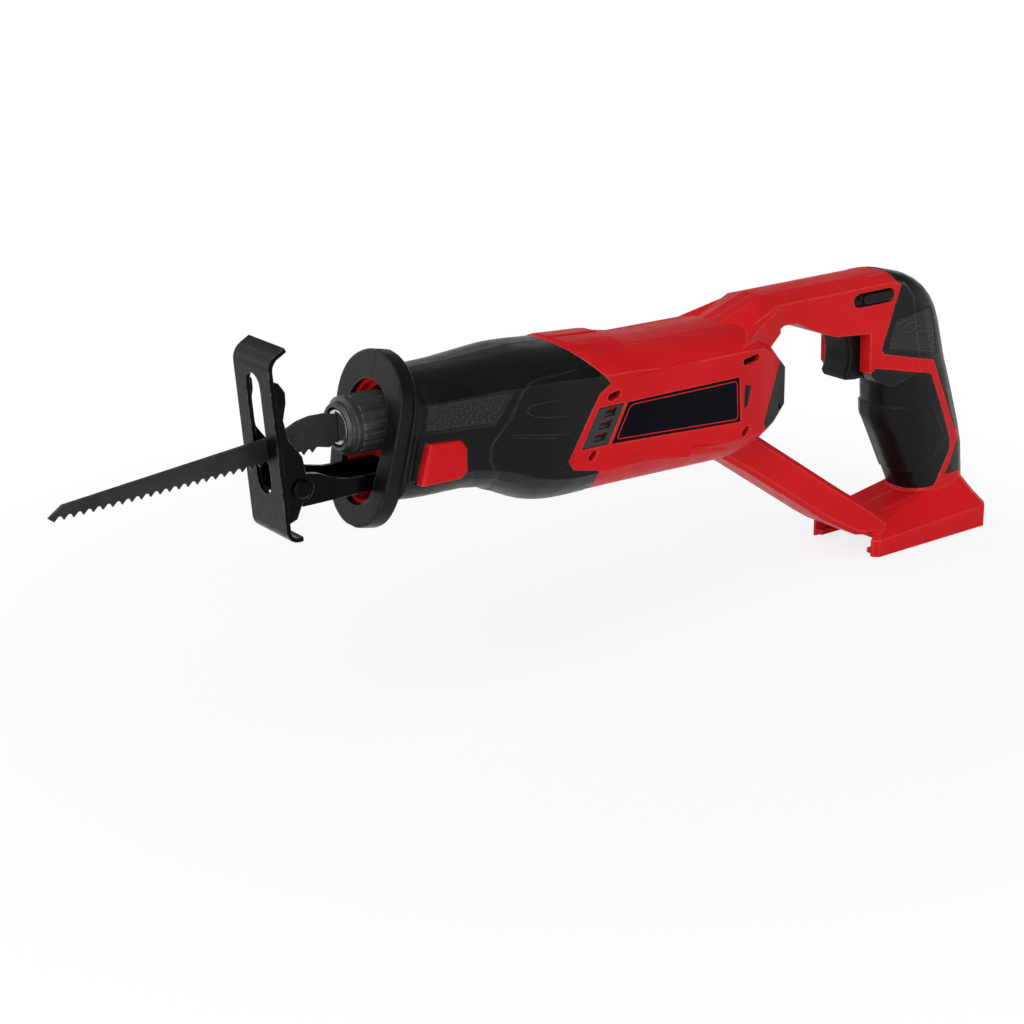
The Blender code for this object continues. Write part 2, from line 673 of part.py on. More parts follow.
def make_side_trim():
    side_plate("label_plate", shrunk(LABEL, GAP + 0.1), -31.4, -30.6)
    for side, word in ((-1, "left"), (1, "right")):
        insert = side_plate(f"{word}_vent_insert", shrunk(VENT, GAP + 0.1), side * 29.9, side * 31.9)
        if side < 0:
            cut(insert, side_plate("label_edge", shrunk(LABEL, -GAP), -BIG, -20))
        for i in range(3):
            z = 91.2 + 5.2 * i
            x = -236 + 9.8 * (z - 89) / 17.5
            window = ((x + 3.0, z), (x + 9.5, z), (x + 11.4, z + 3.4), (x + 4.9, z + 3.4))
            cut(insert, side_plate("window", window, side * 25, side * BIG))


def make_motor():
    centre = (0, 0, MOTOR_Z)
    turned("motor_can", ((23, -168), (23, -221), (22, -222), (8.3, -222), (8.3, -219.6), (21.2, -219.6),
                         (21.2, -168)), "X", centre, 16)
    cap = turned("motor_end_cap", ((23, -157.5), (23, -167.7), (4, -167.7), (4, -163.4), (8.3, -163.4),
                                   (8.3, -157.5)), "X", centre, 16)
    for side in (-1, 1):
        low, high = sorted((side * 10.2, side * 19.5))
        join(cap, box("holder", (-180, low, MOTOR_Z - 4.4), (-166, high, MOTOR_Z + 4.4)))
        low, high = sorted((side * 9.0, side * 18.0))
        cut(cap, box("channel", (-178.3, low, MOTOR_Z - 2.9), (-170.7, high, MOTOR_Z + 2.9)))
        low, high = sorted((side * 9.5, side * 17.6))
        word = "left" if side < 0 else "right"
        box(f"{word}_brush", (-178, low, MOTOR_Z - 2.6), (-171, high, MOTOR_Z + 2.6))
    for side, word in ((-1, "left"), (1, "right")):
        low, high = sorted((side * 9.0, side * 30.0))
        common(ring(f"{word}_magnet", 20.7, 17.6, -214, -184, "X", centre, 16),
               box("arc", (-240, low, 60), (-150, high, 130)))
    turned("armature", ((13, -184.5), (16.6, -187), (16.6, -211), (13, -214), (SHAFT_R + 0.2, -214),
                        (SHAFT_R + 0.2, -184.5)), "X", centre, 14)
    ring("commutator", 9.0, SHAFT_R + 0.2, -179, -169, "X", centre, 14)
    rod("motor_shaft", SHAFT_R, -239, -141, "X", centre, 18)
    ring("front_motor_bearing", 8.0, SHAFT_R + 0.3, -222, -217, "X", centre, 14)
    ring("rear_motor_bearing", 8.0, SHAFT_R + 0.3, -163.1, -158, "X", centre, 14)
    make_fan(centre)
    make_pinion()


def make_fan(centre):
    fan = turned("cooling_fan", ((6.5, -143), (6.5, -151), (24, -151), (24, -153), (SHAFT_R + 0.2, -153),
                                 (SHAFT_R + 0.2, -143)), "X", centre, 14)
    blades = 9
    for i in range(blades):
        blade = box("blade", (-3.5, -0.8, 8.5), (3.0, 0.8, 23.5))
        blade.data.transform(Matrix.Translation(Vector((-148, 0, MOTOR_Z)) * MM)
                             @ Matrix.Rotation(2 * math.pi * i / blades, 4, "X")
                             @ Matrix.Rotation(math.radians(18), 4, "Z"))
        join(fan, blade)
    return fan


def make_pinion():
    outline = []
    share = TOOTH_SHARE * 360 / PINION_TEETH
    for i in range(PINION_TEETH):
        middle = 90 + 360 * i / PINION_TEETH
        for radius, offset in ((PINION_PITCH_R - DEDENDUM + 0.3, -0.62), (PINION_PITCH_R + ADDENDUM, -0.3),
                               (PINION_PITCH_R + ADDENDUM, 0.3), (PINION_PITCH_R - DEDENDUM + 0.3, 0.62)):
            a = math.radians(middle + offset * share)
            outline.append((radius * math.cos(a), MOTOR_Z + radius * math.sin(a)))
    bore = arc((0, MOTOR_Z), SHAFT_R + 0.2, 0, 345, 15)
    return cross_plate("pinion", outline, -238.2, -231.4, [bore])


def make_crank():
    root, tip = MESH_Z + DEDENDUM, MESH_Z - ADDENDUM
    pitch = 2 * math.pi / GEAR_TEETH
    sections = []
    for i in range(GEAR_TEETH):
        for share, z in ((-0.62, root), (-0.3, tip), (0.3, tip), (0.62, root)):
            a = pitch * (i + 0.5 + share * TOOTH_SHARE)
            ray = Vector((math.cos(a), math.sin(a), 0))
            middle = Vector((GEAR_X, 0, 0))
            inside, back = GEAR_R - GEAR_FACE, root + GEAR_BACK
            sections.append([middle + ray * r + Vector((0, 0, h))
                             for r, h in ((inside, z), (GEAR_R, z), (GEAR_R, back), (inside, back))])
    gear = loft("crank_gear", sections, cyclic=True)
    centre = (GEAR_X, 0, 0)
    join(gear, turned("disc", ((0, 103), (GEAR_R - 0.6, 103), (GEAR_R - 0.6, root + 0.6), (7, root + 0.6),
                               (5, root - 1.2), (5, 75), (0, 75)), "Z", centre, 16),
         rod("crank_pin", 2.4, 102, 117, "Z", (GEAR_X, CRANK_R, 0), 14))
    ring("crank_roller", ROLLER_R, 2.65, 108, 116.4, "Z", (GEAR_X, CRANK_R, 0), 14)
    ring("upper_crank_bearing", 11, 5.3, 86, 93.5, "Z", centre, 16)
    ring("lower_crank_bearing", 8, 5.3, 74.6, 81, "Z", centre, 16)


def make_gear_case():
    inset = CORE_INSET + WALL + GAP
    lower = common(barrel("lower_gear_case", inset, -284, -232.5),
                   box("slab", (-300, -BIG, 50), (-200, BIG, 104.85)))
    centre = (GEAR_X, 0, 0)
    cut(lower, rod("gear_room", GEAR_R + 0.9, 94.2, 112, "Z", centre, 18),
        rod("upper_seat", 11 + GAP, 85.6, 96, "Z", centre, 16),
        rod("shaft_way", 6.4, 80, 88, "Z", centre, 16),
        rod("lower_seat", 8 + GAP, 74.3, 81.3, "Z", centre, 16),
        rod("pinion_way", 6.6, -245, -220, "X", (0, 0, MOTOR_Z), 16),
        bush_seat())
    upper = common(barrel("upper_gear_case", inset, -309.6, -232.5),
                   box("slab", (-320, -BIG, 105.15), (-200, BIG, 150)))
    cut(upper, box("yoke_room", (GEAR_X - 21.7, -18.8, 100), (GEAR_X + 21.7, 18.8, 120)),
        bush_seat())


def bush_seat():
    return rod("bush_seat", 10 + GAP, -312, -277, "X", (0, 0, STROKE_Z), 16)


def make_plunger():
    centre = (0, 0, STROKE_Z)
    plunger = rod("plunger", PLUNGER_R, -331, GEAR_X - 8.0, "X", centre, 16)
    yoke = box("yoke", (GEAR_X - 9.8, -18, STROKE_Z - 3.7), (GEAR_X + 9.8, 18, STROKE_Z + 3.7))
    join(plunger, yoke)
    slot = [(GEAR_X + b, a) for a, b in capsule(0, 0, 30.4, 12.4, 0, 5)]
    cut(plunger, extruded("slot", [slot], 40, Matrix.Translation((0, 0, STROKE_Z * MM))))
    ring("plunger_bush", 10, PLUNGER_R + 0.2, -306, -281, "X", centre, 16)
    ring("dust_seal", 10, PLUNGER_R + 0.2, -309.4, -306.4, "X", centre, 16)


def make_chuck():
    centre = (0, 0, STROKE_Z)
    profile = ((0, -331.3), (8.4, -331.3), (8.4, -343.4), (7.4, -344.4), (0, -344.4))
    body = turned("chuck_body", profile, "X", centre)
    cut(body, box("blade_slot", (-350, -1.0, STROKE_Z - 6.8), (-333, 1.0, STROKE_Z + 6.8)))
    ring("chuck_clip", 8.5, PLUNGER_R + 0.2, -329.4, -327.8, "X", centre, 16)
    front = CHUCK_FRONT_X
    profile = ((12.4, -322), (12.4, front + 5.6), (12.9, front + 5.0), (12.9, front + 3.6),
               (11.0, front + 2.8), (11.0, front + 1.4), (10.2, front), (8.8, front), (8.8, -322))
    sleeve = turned("chuck_sleeve", profile, "X", centre, 24)
    ribs = 18
    outline = []
    for i in range(ribs):
        for share, radius in ((0.0, 12.0), (0.22, 12.0), (0.36, CHUCK_R), (0.86, CHUCK_R)):
            a = 2 * math.pi * (i + share) / ribs
            outline.append((radius * math.cos(a), STROKE_Z + radius * math.sin(a)))
    bore = arc((0, STROKE_Z), 9.6, 0, 330, 11)
    join(sleeve, cross_plate("knurl", outline, front + 7.0, -323.2, [bore]))


def make_blade():
    """Back edge from the chuck to the tip, then the teeth back along the lower edge."""
    back = [(-333.4, STROKE_Z + 6.2), (-346.2, STROKE_Z + 6.2), (-348.5, 119.6), (-358, 119.8), (-364, 118.6),
            (-369, 116.4), (-374, 115.0), (-380, 114.1), (-470.7, 104.9), (-477, 100.5)]
    teeth = []
    for i in range(TOOTH_COUNT):
        x = TOOTH_START[0] + TOOTH_PITCH * i
        z = TOOTH_START[1] + TOOTH_RISE * i - TOOTH_BELLY * math.sin(math.pi * i / TOOTH_COUNT)
        teeth += [(x, z), (x + 0.5 * TOOTH_PITCH, z + TOOTH_DEPTH),
                  (x + 0.82 * TOOTH_PITCH, z + 0.9 * TOOTH_DEPTH)]
    root = [(-348.5, 104.4), (-346.2, STROKE_Z - 6.2), (-333.4, STROKE_Z - 6.2)]
    return side_plate("saw_blade", back + teeth + root, -BLADE_THICK / 2, BLADE_THICK / 2)


def sheet_band(path, thickness):
    """A strip of bent sheet seen from its edge, along a path of points."""
    inner = []
    for i, point in enumerate(path):
        along = Vector(path[min(i + 1, len(path) - 1)]) - Vector(path[max(i - 1, 0)])
        inner.append(Vector(point) + Vector((along.y, -along.x)).normalized() * thickness)
    return list(path) + [tuple(point) for point in inner[::-1]]


def make_shoe():
    """Plate with rolled lips, slot and two cheeks, made upright about the pin and then tilted."""
    path = [(-1.6, -22.8), *arc((LOW_LIP_R - SHOE_FACE, -17.3), LOW_LIP_R, 270, 180, 4),
            *arc((TOP_LIP_R - SHOE_FACE, 52.0), TOP_LIP_R, 180, 115, 5), (-0.4, 60.8)]
    shoe = side_plate("shoe_plate", sheet_band(path, SHEET), -SHOE_HALF, SHOE_HALF)
    cheek = [(-8.6, 48.5), (-5, 47), (-2.4, 42.5), (-2.6, 38), (-4.7, 31), (-3.2, 22), (2.2, 13.5),
             *arc((0, 0), 6.2, 60, -90, 8), (-3.4, -12.6), (-8.6, -14)]
    hole = arc((0, 0), PIN_R + GAP, 0, 337.5, 15)
    for side in (-1, 1):
        low, high = sorted((side * (SHOE_HALF - SHEET), side * (SHOE_HALF - 0.02)))
        join(shoe, side_plate("cheek", cheek, low, high, [hole]))
    slot = [(b, a) for a, b in capsule(23.2, 0, 53, 11.4, 0, 8)]
    cut(shoe, cross_plate("slot", slot, -30, -4))
    tilt = Matrix.Translation(Vector((PIVOT_X, 0, PIVOT_Z)) * MM) @ Matrix.Rotation(-SHOE_TILT, 4, "Y")
    shoe.data.transform(tilt)
    return shoe


def make_bracket():
    """U-shaped pressing that carries the shoe and slides in the nose."""
    half = SHOE_HALF - SHEET - 0.5
    wall = [*arc((PIVOT_X, PIVOT_Z), 6.2, 200, 60, 8), (-362, 98.6), (-354, 95.0), (-346, 93.2), (-340, 92.9),
            (-291, 92.9), (-291, 85.4), (-369.4, 85.4), (-373.5, 88.9)]
    hole = arc((PIVOT_X, PIVOT_Z), PIN_R + GAP, 0, 337.5, 15)
    bracket = box("shoe_bracket", (-369.4, 0.4 - half, 85.42), (-291.02, half - 0.4, 87.4))
    for side in (-1, 1):
        low, high = sorted((side * (half - SHEET), side * half))
        join(bracket, side_plate("wall", wall, low, high, [hole]))
    out = SHOE_HALF + GAP
    head = ((0, out + 1.8), (3.2, out + 1.8), (PIN_HEAD_R, out + 1.0), (PIN_HEAD_R, out), (PIN_R, out))
    profile = (*head, *((r, -along) for r, along in head[::-1]))
    turned("shoe_pin", profile, "Y", (PIVOT_X, 0, PIVOT_Z), 16)
    return bracket


def coil(name, radius, wire, low, high, turns, centre, axis):
    """A compression spring as a wire along a helix."""
    steps = 7 * turns
    curve = bpy.data.curves.new(name, "CURVE")
    curve.dimensions = "3D"
    curve.bevel_depth = wire * MM
    curve.bevel_resolution = 0
    curve.use_fill_caps = True
    spline = curve.splines.new("POLY")
    spline.points.add(steps)
    for i, point in enumerate(spline.points):
        a = 2 * math.pi * turns * i / steps
        along = low + (high - low) * i / steps
        local = Vector((radius * math.cos(a), radius * math.sin(a), along))
        place = AXES[axis] @ local + Vector(centre)
        point.co = (*(place * MM), 1)
    obj = bpy.data.objects.new(name, curve)
    PARTS.objects.link(obj)
    return obj


def make_controls():
    trigger = side_plate("trigger", TRIGGER, -TRIGGER_HALF, TRIGGER_HALF)

    def front_corner(edge):
        ends = [vertex.co for vertex in edge.verts]
        lengthwise = abs(ends[0].y - ends[1].y) < 1e-6
        return lengthwise and max(end.x for end in ends) < -47 * MM and edge.calc_face_angle(0) > 1.0

    round_edges(trigger, 2.4, 2, front_corner)
    cut(trigger, rod("spring_seat", 4.6, -42, -30, "X", (0, 0, 95.5), 16))
    coil("trigger_spring", 3.4, 0.5, -41.1, -26.4, 5, (0, 0, 95.5), "X")
    switch = box("switch_module", (-25.5, -11.2, 84.4), (-6, 11.2, 106.6))
    join(switch, box("lug", (-20, -6, 106), (-10, 6, 111.5)))
    lock = side_plate("lock_off_button", capsule(-43.7, 125.4, 27.8, 6.4), -16.0, 16.0)
    join(lock, side_plate("pad", capsule(-41.5, 125.6, 21, 4.6), -19.0, 19.0))
    button = side_plate("release_button", RELEASE_BUTTON, -27.4, -22.4)
    round_edges(button, 0.9, 1, lambda edge: all(v.co.y < -0.027 for v in edge.verts))
    coil("release_spring", 3.2, 0.35, -21.7, -16.2, 3, (-307, 0, 96), "Y")
    return trigger, switch, lock, button


def make_terminals():
    block = box("terminal_block", (-12, -12, 0), (22, 12, 11))
    for name, y in (("plus_terminal", -7.5), ("signal_terminal", 0.0), ("minus_terminal", 7.5)):
        cut(block, box("slot", (3.7, y - 0.75, -5), (18.3, y + 0.75, 6)))
        box(name, (4, y - 0.4, -7.0), (18, y + 0.4, 5.6))


def make_material(look):
    name, colour, roughness, metallic = look
    material = bpy.data.materials.get(name)
    if material is None:
        material = bpy.data.materials.new(name)
        material.use_nodes = True
        shader = material.node_tree.nodes["Principled BSDF"]
        shader.inputs["Base Color"].default_value = (*colour, 1)
        shader.inputs["Roughness"].default_value = roughness
        shader.inputs["Metallic"].default_value = metallic
    return material


LOOKS = {
    RED: ("left_housing", "right_housing", "release_button"),
    BLACK_SOFT: ("left_nose_cover", "right_nose_cover", "left_front_grip", "right_front_grip",
                 "left_back_grip", "right_back_grip", "left_heel_pad", "right_heel_pad", "dust_seal"),
    BLACK_HARD: ("label_plate", "rear_vent_cap", "trigger", "lock_off_button", "switch_module",
                 "terminal_block", "motor_end_cap", "cooling_fan"),
    GREY: ("left_vent_insert", "right_vent_insert"),
    BLACK_STEEL: ("shoe_plate", "shoe_bracket", "shoe_pin", "saw_blade", "chuck_sleeve"),
    STEEL: ("motor_can", "armature", "motor_shaft", "pinion", "front_motor_bearing",
            "rear_motor_bearing", "crank_gear", "crank_roller", "upper_crank_bearing",
            "lower_crank_bearing", "plunger", "chuck_body", "chuck_clip", "trigger_spring", "release_spring",
            *(f"housing_screw_{i + 1}" for i in range(len(SCREWS)))),
    ALUMINIUM: ("lower_gear_case", "upper_gear_case"),
    COPPER: ("commutator", "plus_terminal", "signal_terminal", "minus_terminal"),
    BRONZE: ("plunger_bush",),
    CARBON: ("left_brush", "right_brush", "left_magnet", "right_magnet"),
}

# Moving groups: the point on each joint's axis and the pieces that it carries
GROUPS = {
    "rotor_axis": ((-200, 0, MOTOR_Z), ("armature", "commutator", "motor_shaft", "pinion", "cooling_fan")),
    "crank_axis": ((GEAR_X, 0, MESH_Z), ("crank_gear", "crank_roller")),
    "stroke_axis": ((-300, 0, STROKE_Z), ("plunger", "chuck_body", "chuck_clip", "saw_blade")),
    "sleeve_axis": ((-335, 0, STROKE_Z), ("chuck_sleeve",)),
    "bracket_axis": ((-330, 0, 89), ("shoe_bracket", "shoe_pin")),
    "shoe_axis": ((PIVOT_X, 0, PIVOT_Z), ("shoe_plate",)),
    "trigger_axis": ((-50, 0, 95.5), ("trigger",)),
    "lock_axis": ((-43.7, 0, 125.4), ("lock_off_button",)),
    "button_axis": ((-307, -24, 96), ("release_button",)),
}


def merge_flat_faces(mesh):
    """Joins faces that lie in one plane, where the body stays closed."""
    bm = bmesh.new()
    bm.from_mesh(mesh)
    bmesh.ops.dissolve_limit(bm, angle_limit=FLAT_ANGLE, verts=bm.verts, edges=bm.edges)
    bmesh.ops.triangulate(bm, faces=bm.faces)
    merged = bpy.data.meshes.new(mesh.name)
    bm.to_mesh(merged)
    bm.free()
    return merged if is_closed(merged) else mesh


def finish():
    for look, names in LOOKS.items():
        for name in names:
            obj = bpy.data.objects[name]
            if obj.type == "MESH":
                obj.data = merge_flat_faces(obj.data)
            obj.data.materials.clear()
            obj.data.materials.append(make_material(look))
            if obj.type == "MESH":
                obj.data.shade_smooth()
                obj.data.set_sharp_from_angle(angle=math.radians(32))
    for name, (place, pieces) in GROUPS.items():
        empty = bpy.data.objects.new(name, None)
        empty.location = Vector(place) * MM
        PARTS.objects.link(empty)
        bpy.context.view_layer.update()
        for piece in pieces:
            obj = bpy.data.objects[piece]
            obj.parent = empty
            obj.matrix_parent_inverse = empty.matrix_world.inverted()


make_housing()
make_nose_cover()
make_grips()
make_screws()
make_rear_cap()
make_side_trim()
make_motor()
make_crank()
make_gear_case()
make_plunger()
make_chuck()
make_blade()
make_shoe()
make_bracket()
make_controls()
make_terminals()
finish()
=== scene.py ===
"""Looks of the cordless reciprocating saw: materials, moulded texture, trim and studio round the frame.

Sizes are millimetres unless a name says otherwise. The nose points to -X and the left side is -Y.
"""

import math

import bmesh
import bpy
from mathutils import Matrix, Vector, noise
from mathutils.bvhtree import BVHTree


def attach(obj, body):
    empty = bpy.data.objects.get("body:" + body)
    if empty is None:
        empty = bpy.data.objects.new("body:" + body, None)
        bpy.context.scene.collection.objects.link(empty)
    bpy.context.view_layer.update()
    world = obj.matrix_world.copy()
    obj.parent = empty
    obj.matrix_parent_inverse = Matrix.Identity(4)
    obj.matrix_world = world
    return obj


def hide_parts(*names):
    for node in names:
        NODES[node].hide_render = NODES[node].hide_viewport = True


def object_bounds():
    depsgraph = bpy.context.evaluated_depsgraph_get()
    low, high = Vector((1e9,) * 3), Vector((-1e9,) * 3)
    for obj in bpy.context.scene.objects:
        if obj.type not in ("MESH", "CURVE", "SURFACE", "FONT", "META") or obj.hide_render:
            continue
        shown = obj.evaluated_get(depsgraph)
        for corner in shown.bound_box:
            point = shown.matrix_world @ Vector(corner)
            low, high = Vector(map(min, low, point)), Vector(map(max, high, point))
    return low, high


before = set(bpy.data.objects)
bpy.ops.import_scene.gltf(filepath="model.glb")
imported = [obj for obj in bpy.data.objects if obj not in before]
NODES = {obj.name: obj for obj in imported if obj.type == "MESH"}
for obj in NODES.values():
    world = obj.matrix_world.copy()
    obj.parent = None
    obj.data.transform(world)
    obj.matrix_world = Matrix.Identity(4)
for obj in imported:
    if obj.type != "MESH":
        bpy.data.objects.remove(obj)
CAD_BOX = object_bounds()
MM = 0.001

# Camera, from the photograph
PHOTO_PX = 1024
FOCAL_PX = 2122.7
SENSOR = 36.0
CAMERA_AT_M = Vector((-0.79009, -0.73651, 0.37056))
CAMERA_AZIMUTH = math.radians(36.069)
CAMERA_PITCH = math.radians(19.112)
CAMERA_ROLL = math.radians(-0.879)

# Studio
AIM_M = Vector((-0.2, 0.0, 0.09))
SKY_LIGHT = 0.2
SKY_FADE = (0.12, 0.3)
FLOOR_DROP_M = 0.0006
FLOOR_SIZE_M = 12.0
FLOOR_GREY = (0.92, 0.92, 0.92, 1)
FLOOR_ROUGHNESS = 0.9
FLOOR_WHITE = 0.82
FLOOR_FADE_M = (0.2, 0.42)
LAMP_SPREAD = math.radians(60)
LAMPS = (("key", (-0.75, -0.85, 0.45), 0.53),
         ("top", (-0.35, -0.15, 1.0), 0.37),
         ("fill", (-0.5, 0.9, 0.35), 0.25))

# Side outlines, as (x, z)
NOSE_PANEL = ((-312.8, 120.9), (-274.0, 120.8), (-282.3, 108.3), (-314.0, 110.1))
LABEL_LINE = ((-209.8, 104.6), (-146.2, 104.2), (-145.2, 85.6), (-218.0, 90.0))
BACK_PANEL = ((-27.1, 111.8), (-14.0, 112.8), (-0.6, 114.6), (5.0, 88.6), (-15.6, 93.6), (-32.4, 97.6))
WEDGE = ((-141.3, 101.3), (-136.6, 100.3), (-139.0, 91.2), (-141.6, 90.0))
BULGE_LOOP = ((-236.9, 105.0), (-246.7, 106.5), (-256.3, 107.6), (-263.0, 108.9), (-266.2, 110.4),
              (-267.4, 112.0), (-266.9, 113.4), (-265.0, 114.4), (-261.0, 114.8), (-252.5, 114.5),
              (-247.7, 114.0))
BULGE_LINES = (((-279.0, 103.2), (-265.2, 101.2), (-252.5, 99.1), (-240.8, 97.3)),
               ((-278.2, 101.9), (-267.0, 100.1), (-256.3, 98.2), (-249.0, 96.9)))
CHEEK_TOP = ((-213.0, 114.4), (-190.0, 115.6), (-167.0, 116.6))
CHEEK_LOW = ((-224.7, 82.4), (-204.3, 79.8), (-181.5, 76.8), (-161.9, 73.8), (-146.0, 70.9))

# Crown outlines of the left half, seen from above, as (x, y)
CROWN_BAND = ((-232.8, -0.4), (-202.5, -0.4), (-202.5, -16.0), (-232.0, -16.0))
CROWN_SHOULDER = ((-231.4, -16.6), (-219.0, -16.6), (-216.4, -26.4), (-228.6, -26.4))
CROWN_LINE = ((-201.0, -14.0), (-184.3, -12.2), (-165.9, -12.2), (-147.1, -12.4), (-132.0, -11.4))


def make_camera():
    forward = Vector((
        math.sin(CAMERA_AZIMUTH) * math.cos(CAMERA_PITCH),
        math.cos(CAMERA_AZIMUTH) * math.cos(CAMERA_PITCH),
        -math.sin(CAMERA_PITCH),
    ))
    level = Vector((math.cos(CAMERA_AZIMUTH), -math.sin(CAMERA_AZIMUTH), 0.0))
    upright = level.cross(forward)
    right = math.cos(CAMERA_ROLL) * level + math.sin(CAMERA_ROLL) * upright
    up = -math.sin(CAMERA_ROLL) * level + math.cos(CAMERA_ROLL) * upright
    data = bpy.data.cameras.new("camera")
    data.sensor_width = SENSOR
    data.lens = FOCAL_PX / PHOTO_PX * SENSOR
    camera = bpy.data.objects.new("camera", data)
    turn = Matrix((right, up, -forward)).transposed().to_4x4()
    camera.matrix_world = Matrix.Translation(CAMERA_AT_M) @ turn
    bpy.context.scene.collection.objects.link(camera)
    bpy.context.scene.camera = camera


def lamp(name, towards, level):
    """A soft distant lamp in a direction, at a level where one renders a facing colour as it is written."""
    data = bpy.data.lights.new(name, "SUN")
    data.energy = level * math.pi
    data.angle = LAMP_SPREAD
    obj = bpy.data.objects.new(name, data)
    obj.rotation_euler = Vector(towards).to_track_quat("Z", "Y").to_euler()
    bpy.context.scene.collection.objects.link(obj)


def background_rays(tree):
    """One for camera, glossy and transmitted rays, and nought for the rays that light the object."""
    path = tree.nodes.new("ShaderNodeLightPath")
    total = path.outputs["Is Camera Ray"]
    for ray in ("Is Glossy Ray", "Is Transmission Ray"):
        add = tree.nodes.new("ShaderNodeMath")
        add.operation = "ADD"
        add.use_clamp = True
        tree.links.new(total, add.inputs[0])
        tree.links.new(path.outputs[ray], add.inputs[1])
        total = add.outputs[0]
    return total


def make_world():
    """A studio that is white at the horizon and dimmer overhead, for every kind of ray."""
    world = bpy.data.worlds.new("studio")
    world.use_nodes = True
    bpy.context.scene.world = world
    tree = world.node_tree
    split = tree.nodes.new("ShaderNodeSeparateXYZ")
    tree.links.new(tree.nodes.new("ShaderNodeTexCoord").outputs["Generated"], split.inputs[0])
    fade = tree.nodes.new("ShaderNodeMapRange")
    fade.interpolation_type = "SMOOTHSTEP"
    fade.inputs["From Min"].default_value, fade.inputs["From Max"].default_value = SKY_FADE
    fade.inputs["To Min"].default_value = 1.0
    fade.inputs["To Max"].default_value = SKY_LIGHT
    tree.links.new(split.outputs["Z"], fade.inputs["Value"])
    sky = tree.nodes["Background"]
    sky.inputs["Color"].default_value = (1.0, 1.0, 1.0, 1)
    tree.links.new(fade.outputs["Result"], sky.inputs["Strength"])


def make_floor():
    """A pale floor that keeps the shadow near the part and fades to white further out."""
    bm = bmesh.new()
    bmesh.ops.create_grid(bm, x_segments=1, y_segments=1, size=FLOOR_SIZE_M / 2)
    mesh = bpy.data.meshes.new("floor")
    bm.to_mesh(mesh)
    bm.free()
    floor = bpy.data.objects.new("floor", mesh)
    floor.location = (AIM_M.x, 0, CAD_BOX[0].z - FLOOR_DROP_M)
    bpy.context.scene.collection.objects.link(floor)
    material = bpy.data.materials.new("pale_floor")
    material.use_nodes = True
    tree = material.node_tree
    paint = tree.nodes["Principled BSDF"]
    paint.inputs["Base Color"].default_value = FLOOR_GREY
    paint.inputs["Roughness"].default_value = FLOOR_ROUGHNESS
    glow = tree.nodes.new("ShaderNodeEmission")
    mix = tree.nodes.new("ShaderNodeMixShader")
    spread = tree.nodes.new("ShaderNodeVectorMath")
    spread.operation = "LENGTH"
    tree.links.new(tree.nodes.new("ShaderNodeTexCoord").outputs["Object"], spread.inputs[0])
    fade = tree.nodes.new("ShaderNodeMapRange")
    fade.interpolation_type = "SMOOTHSTEP"
    fade.inputs["From Min"].default_value, fade.inputs["From Max"].default_value = FLOOR_FADE_M
    fade.inputs["To Min"].default_value = FLOOR_WHITE
    tree.links.new(spread.outputs["Value"], fade.inputs["Value"])
    share = tree.nodes.new("ShaderNodeMath")
    share.operation = "MULTIPLY"
    tree.links.new(background_rays(tree), share.inputs[0])
    tree.links.new(fade.outputs["Result"], share.inputs[1])
    tree.links.new(share.outputs[0], mix.inputs["Fac"])
    tree.links.new(paint.outputs[0], mix.inputs[1])
    tree.links.new(glow.outputs[0], mix.inputs[2])
    tree.links.new(mix.outputs[0], tree.nodes["Material Output"].inputs["Surface"])
    mesh.materials.append(material)


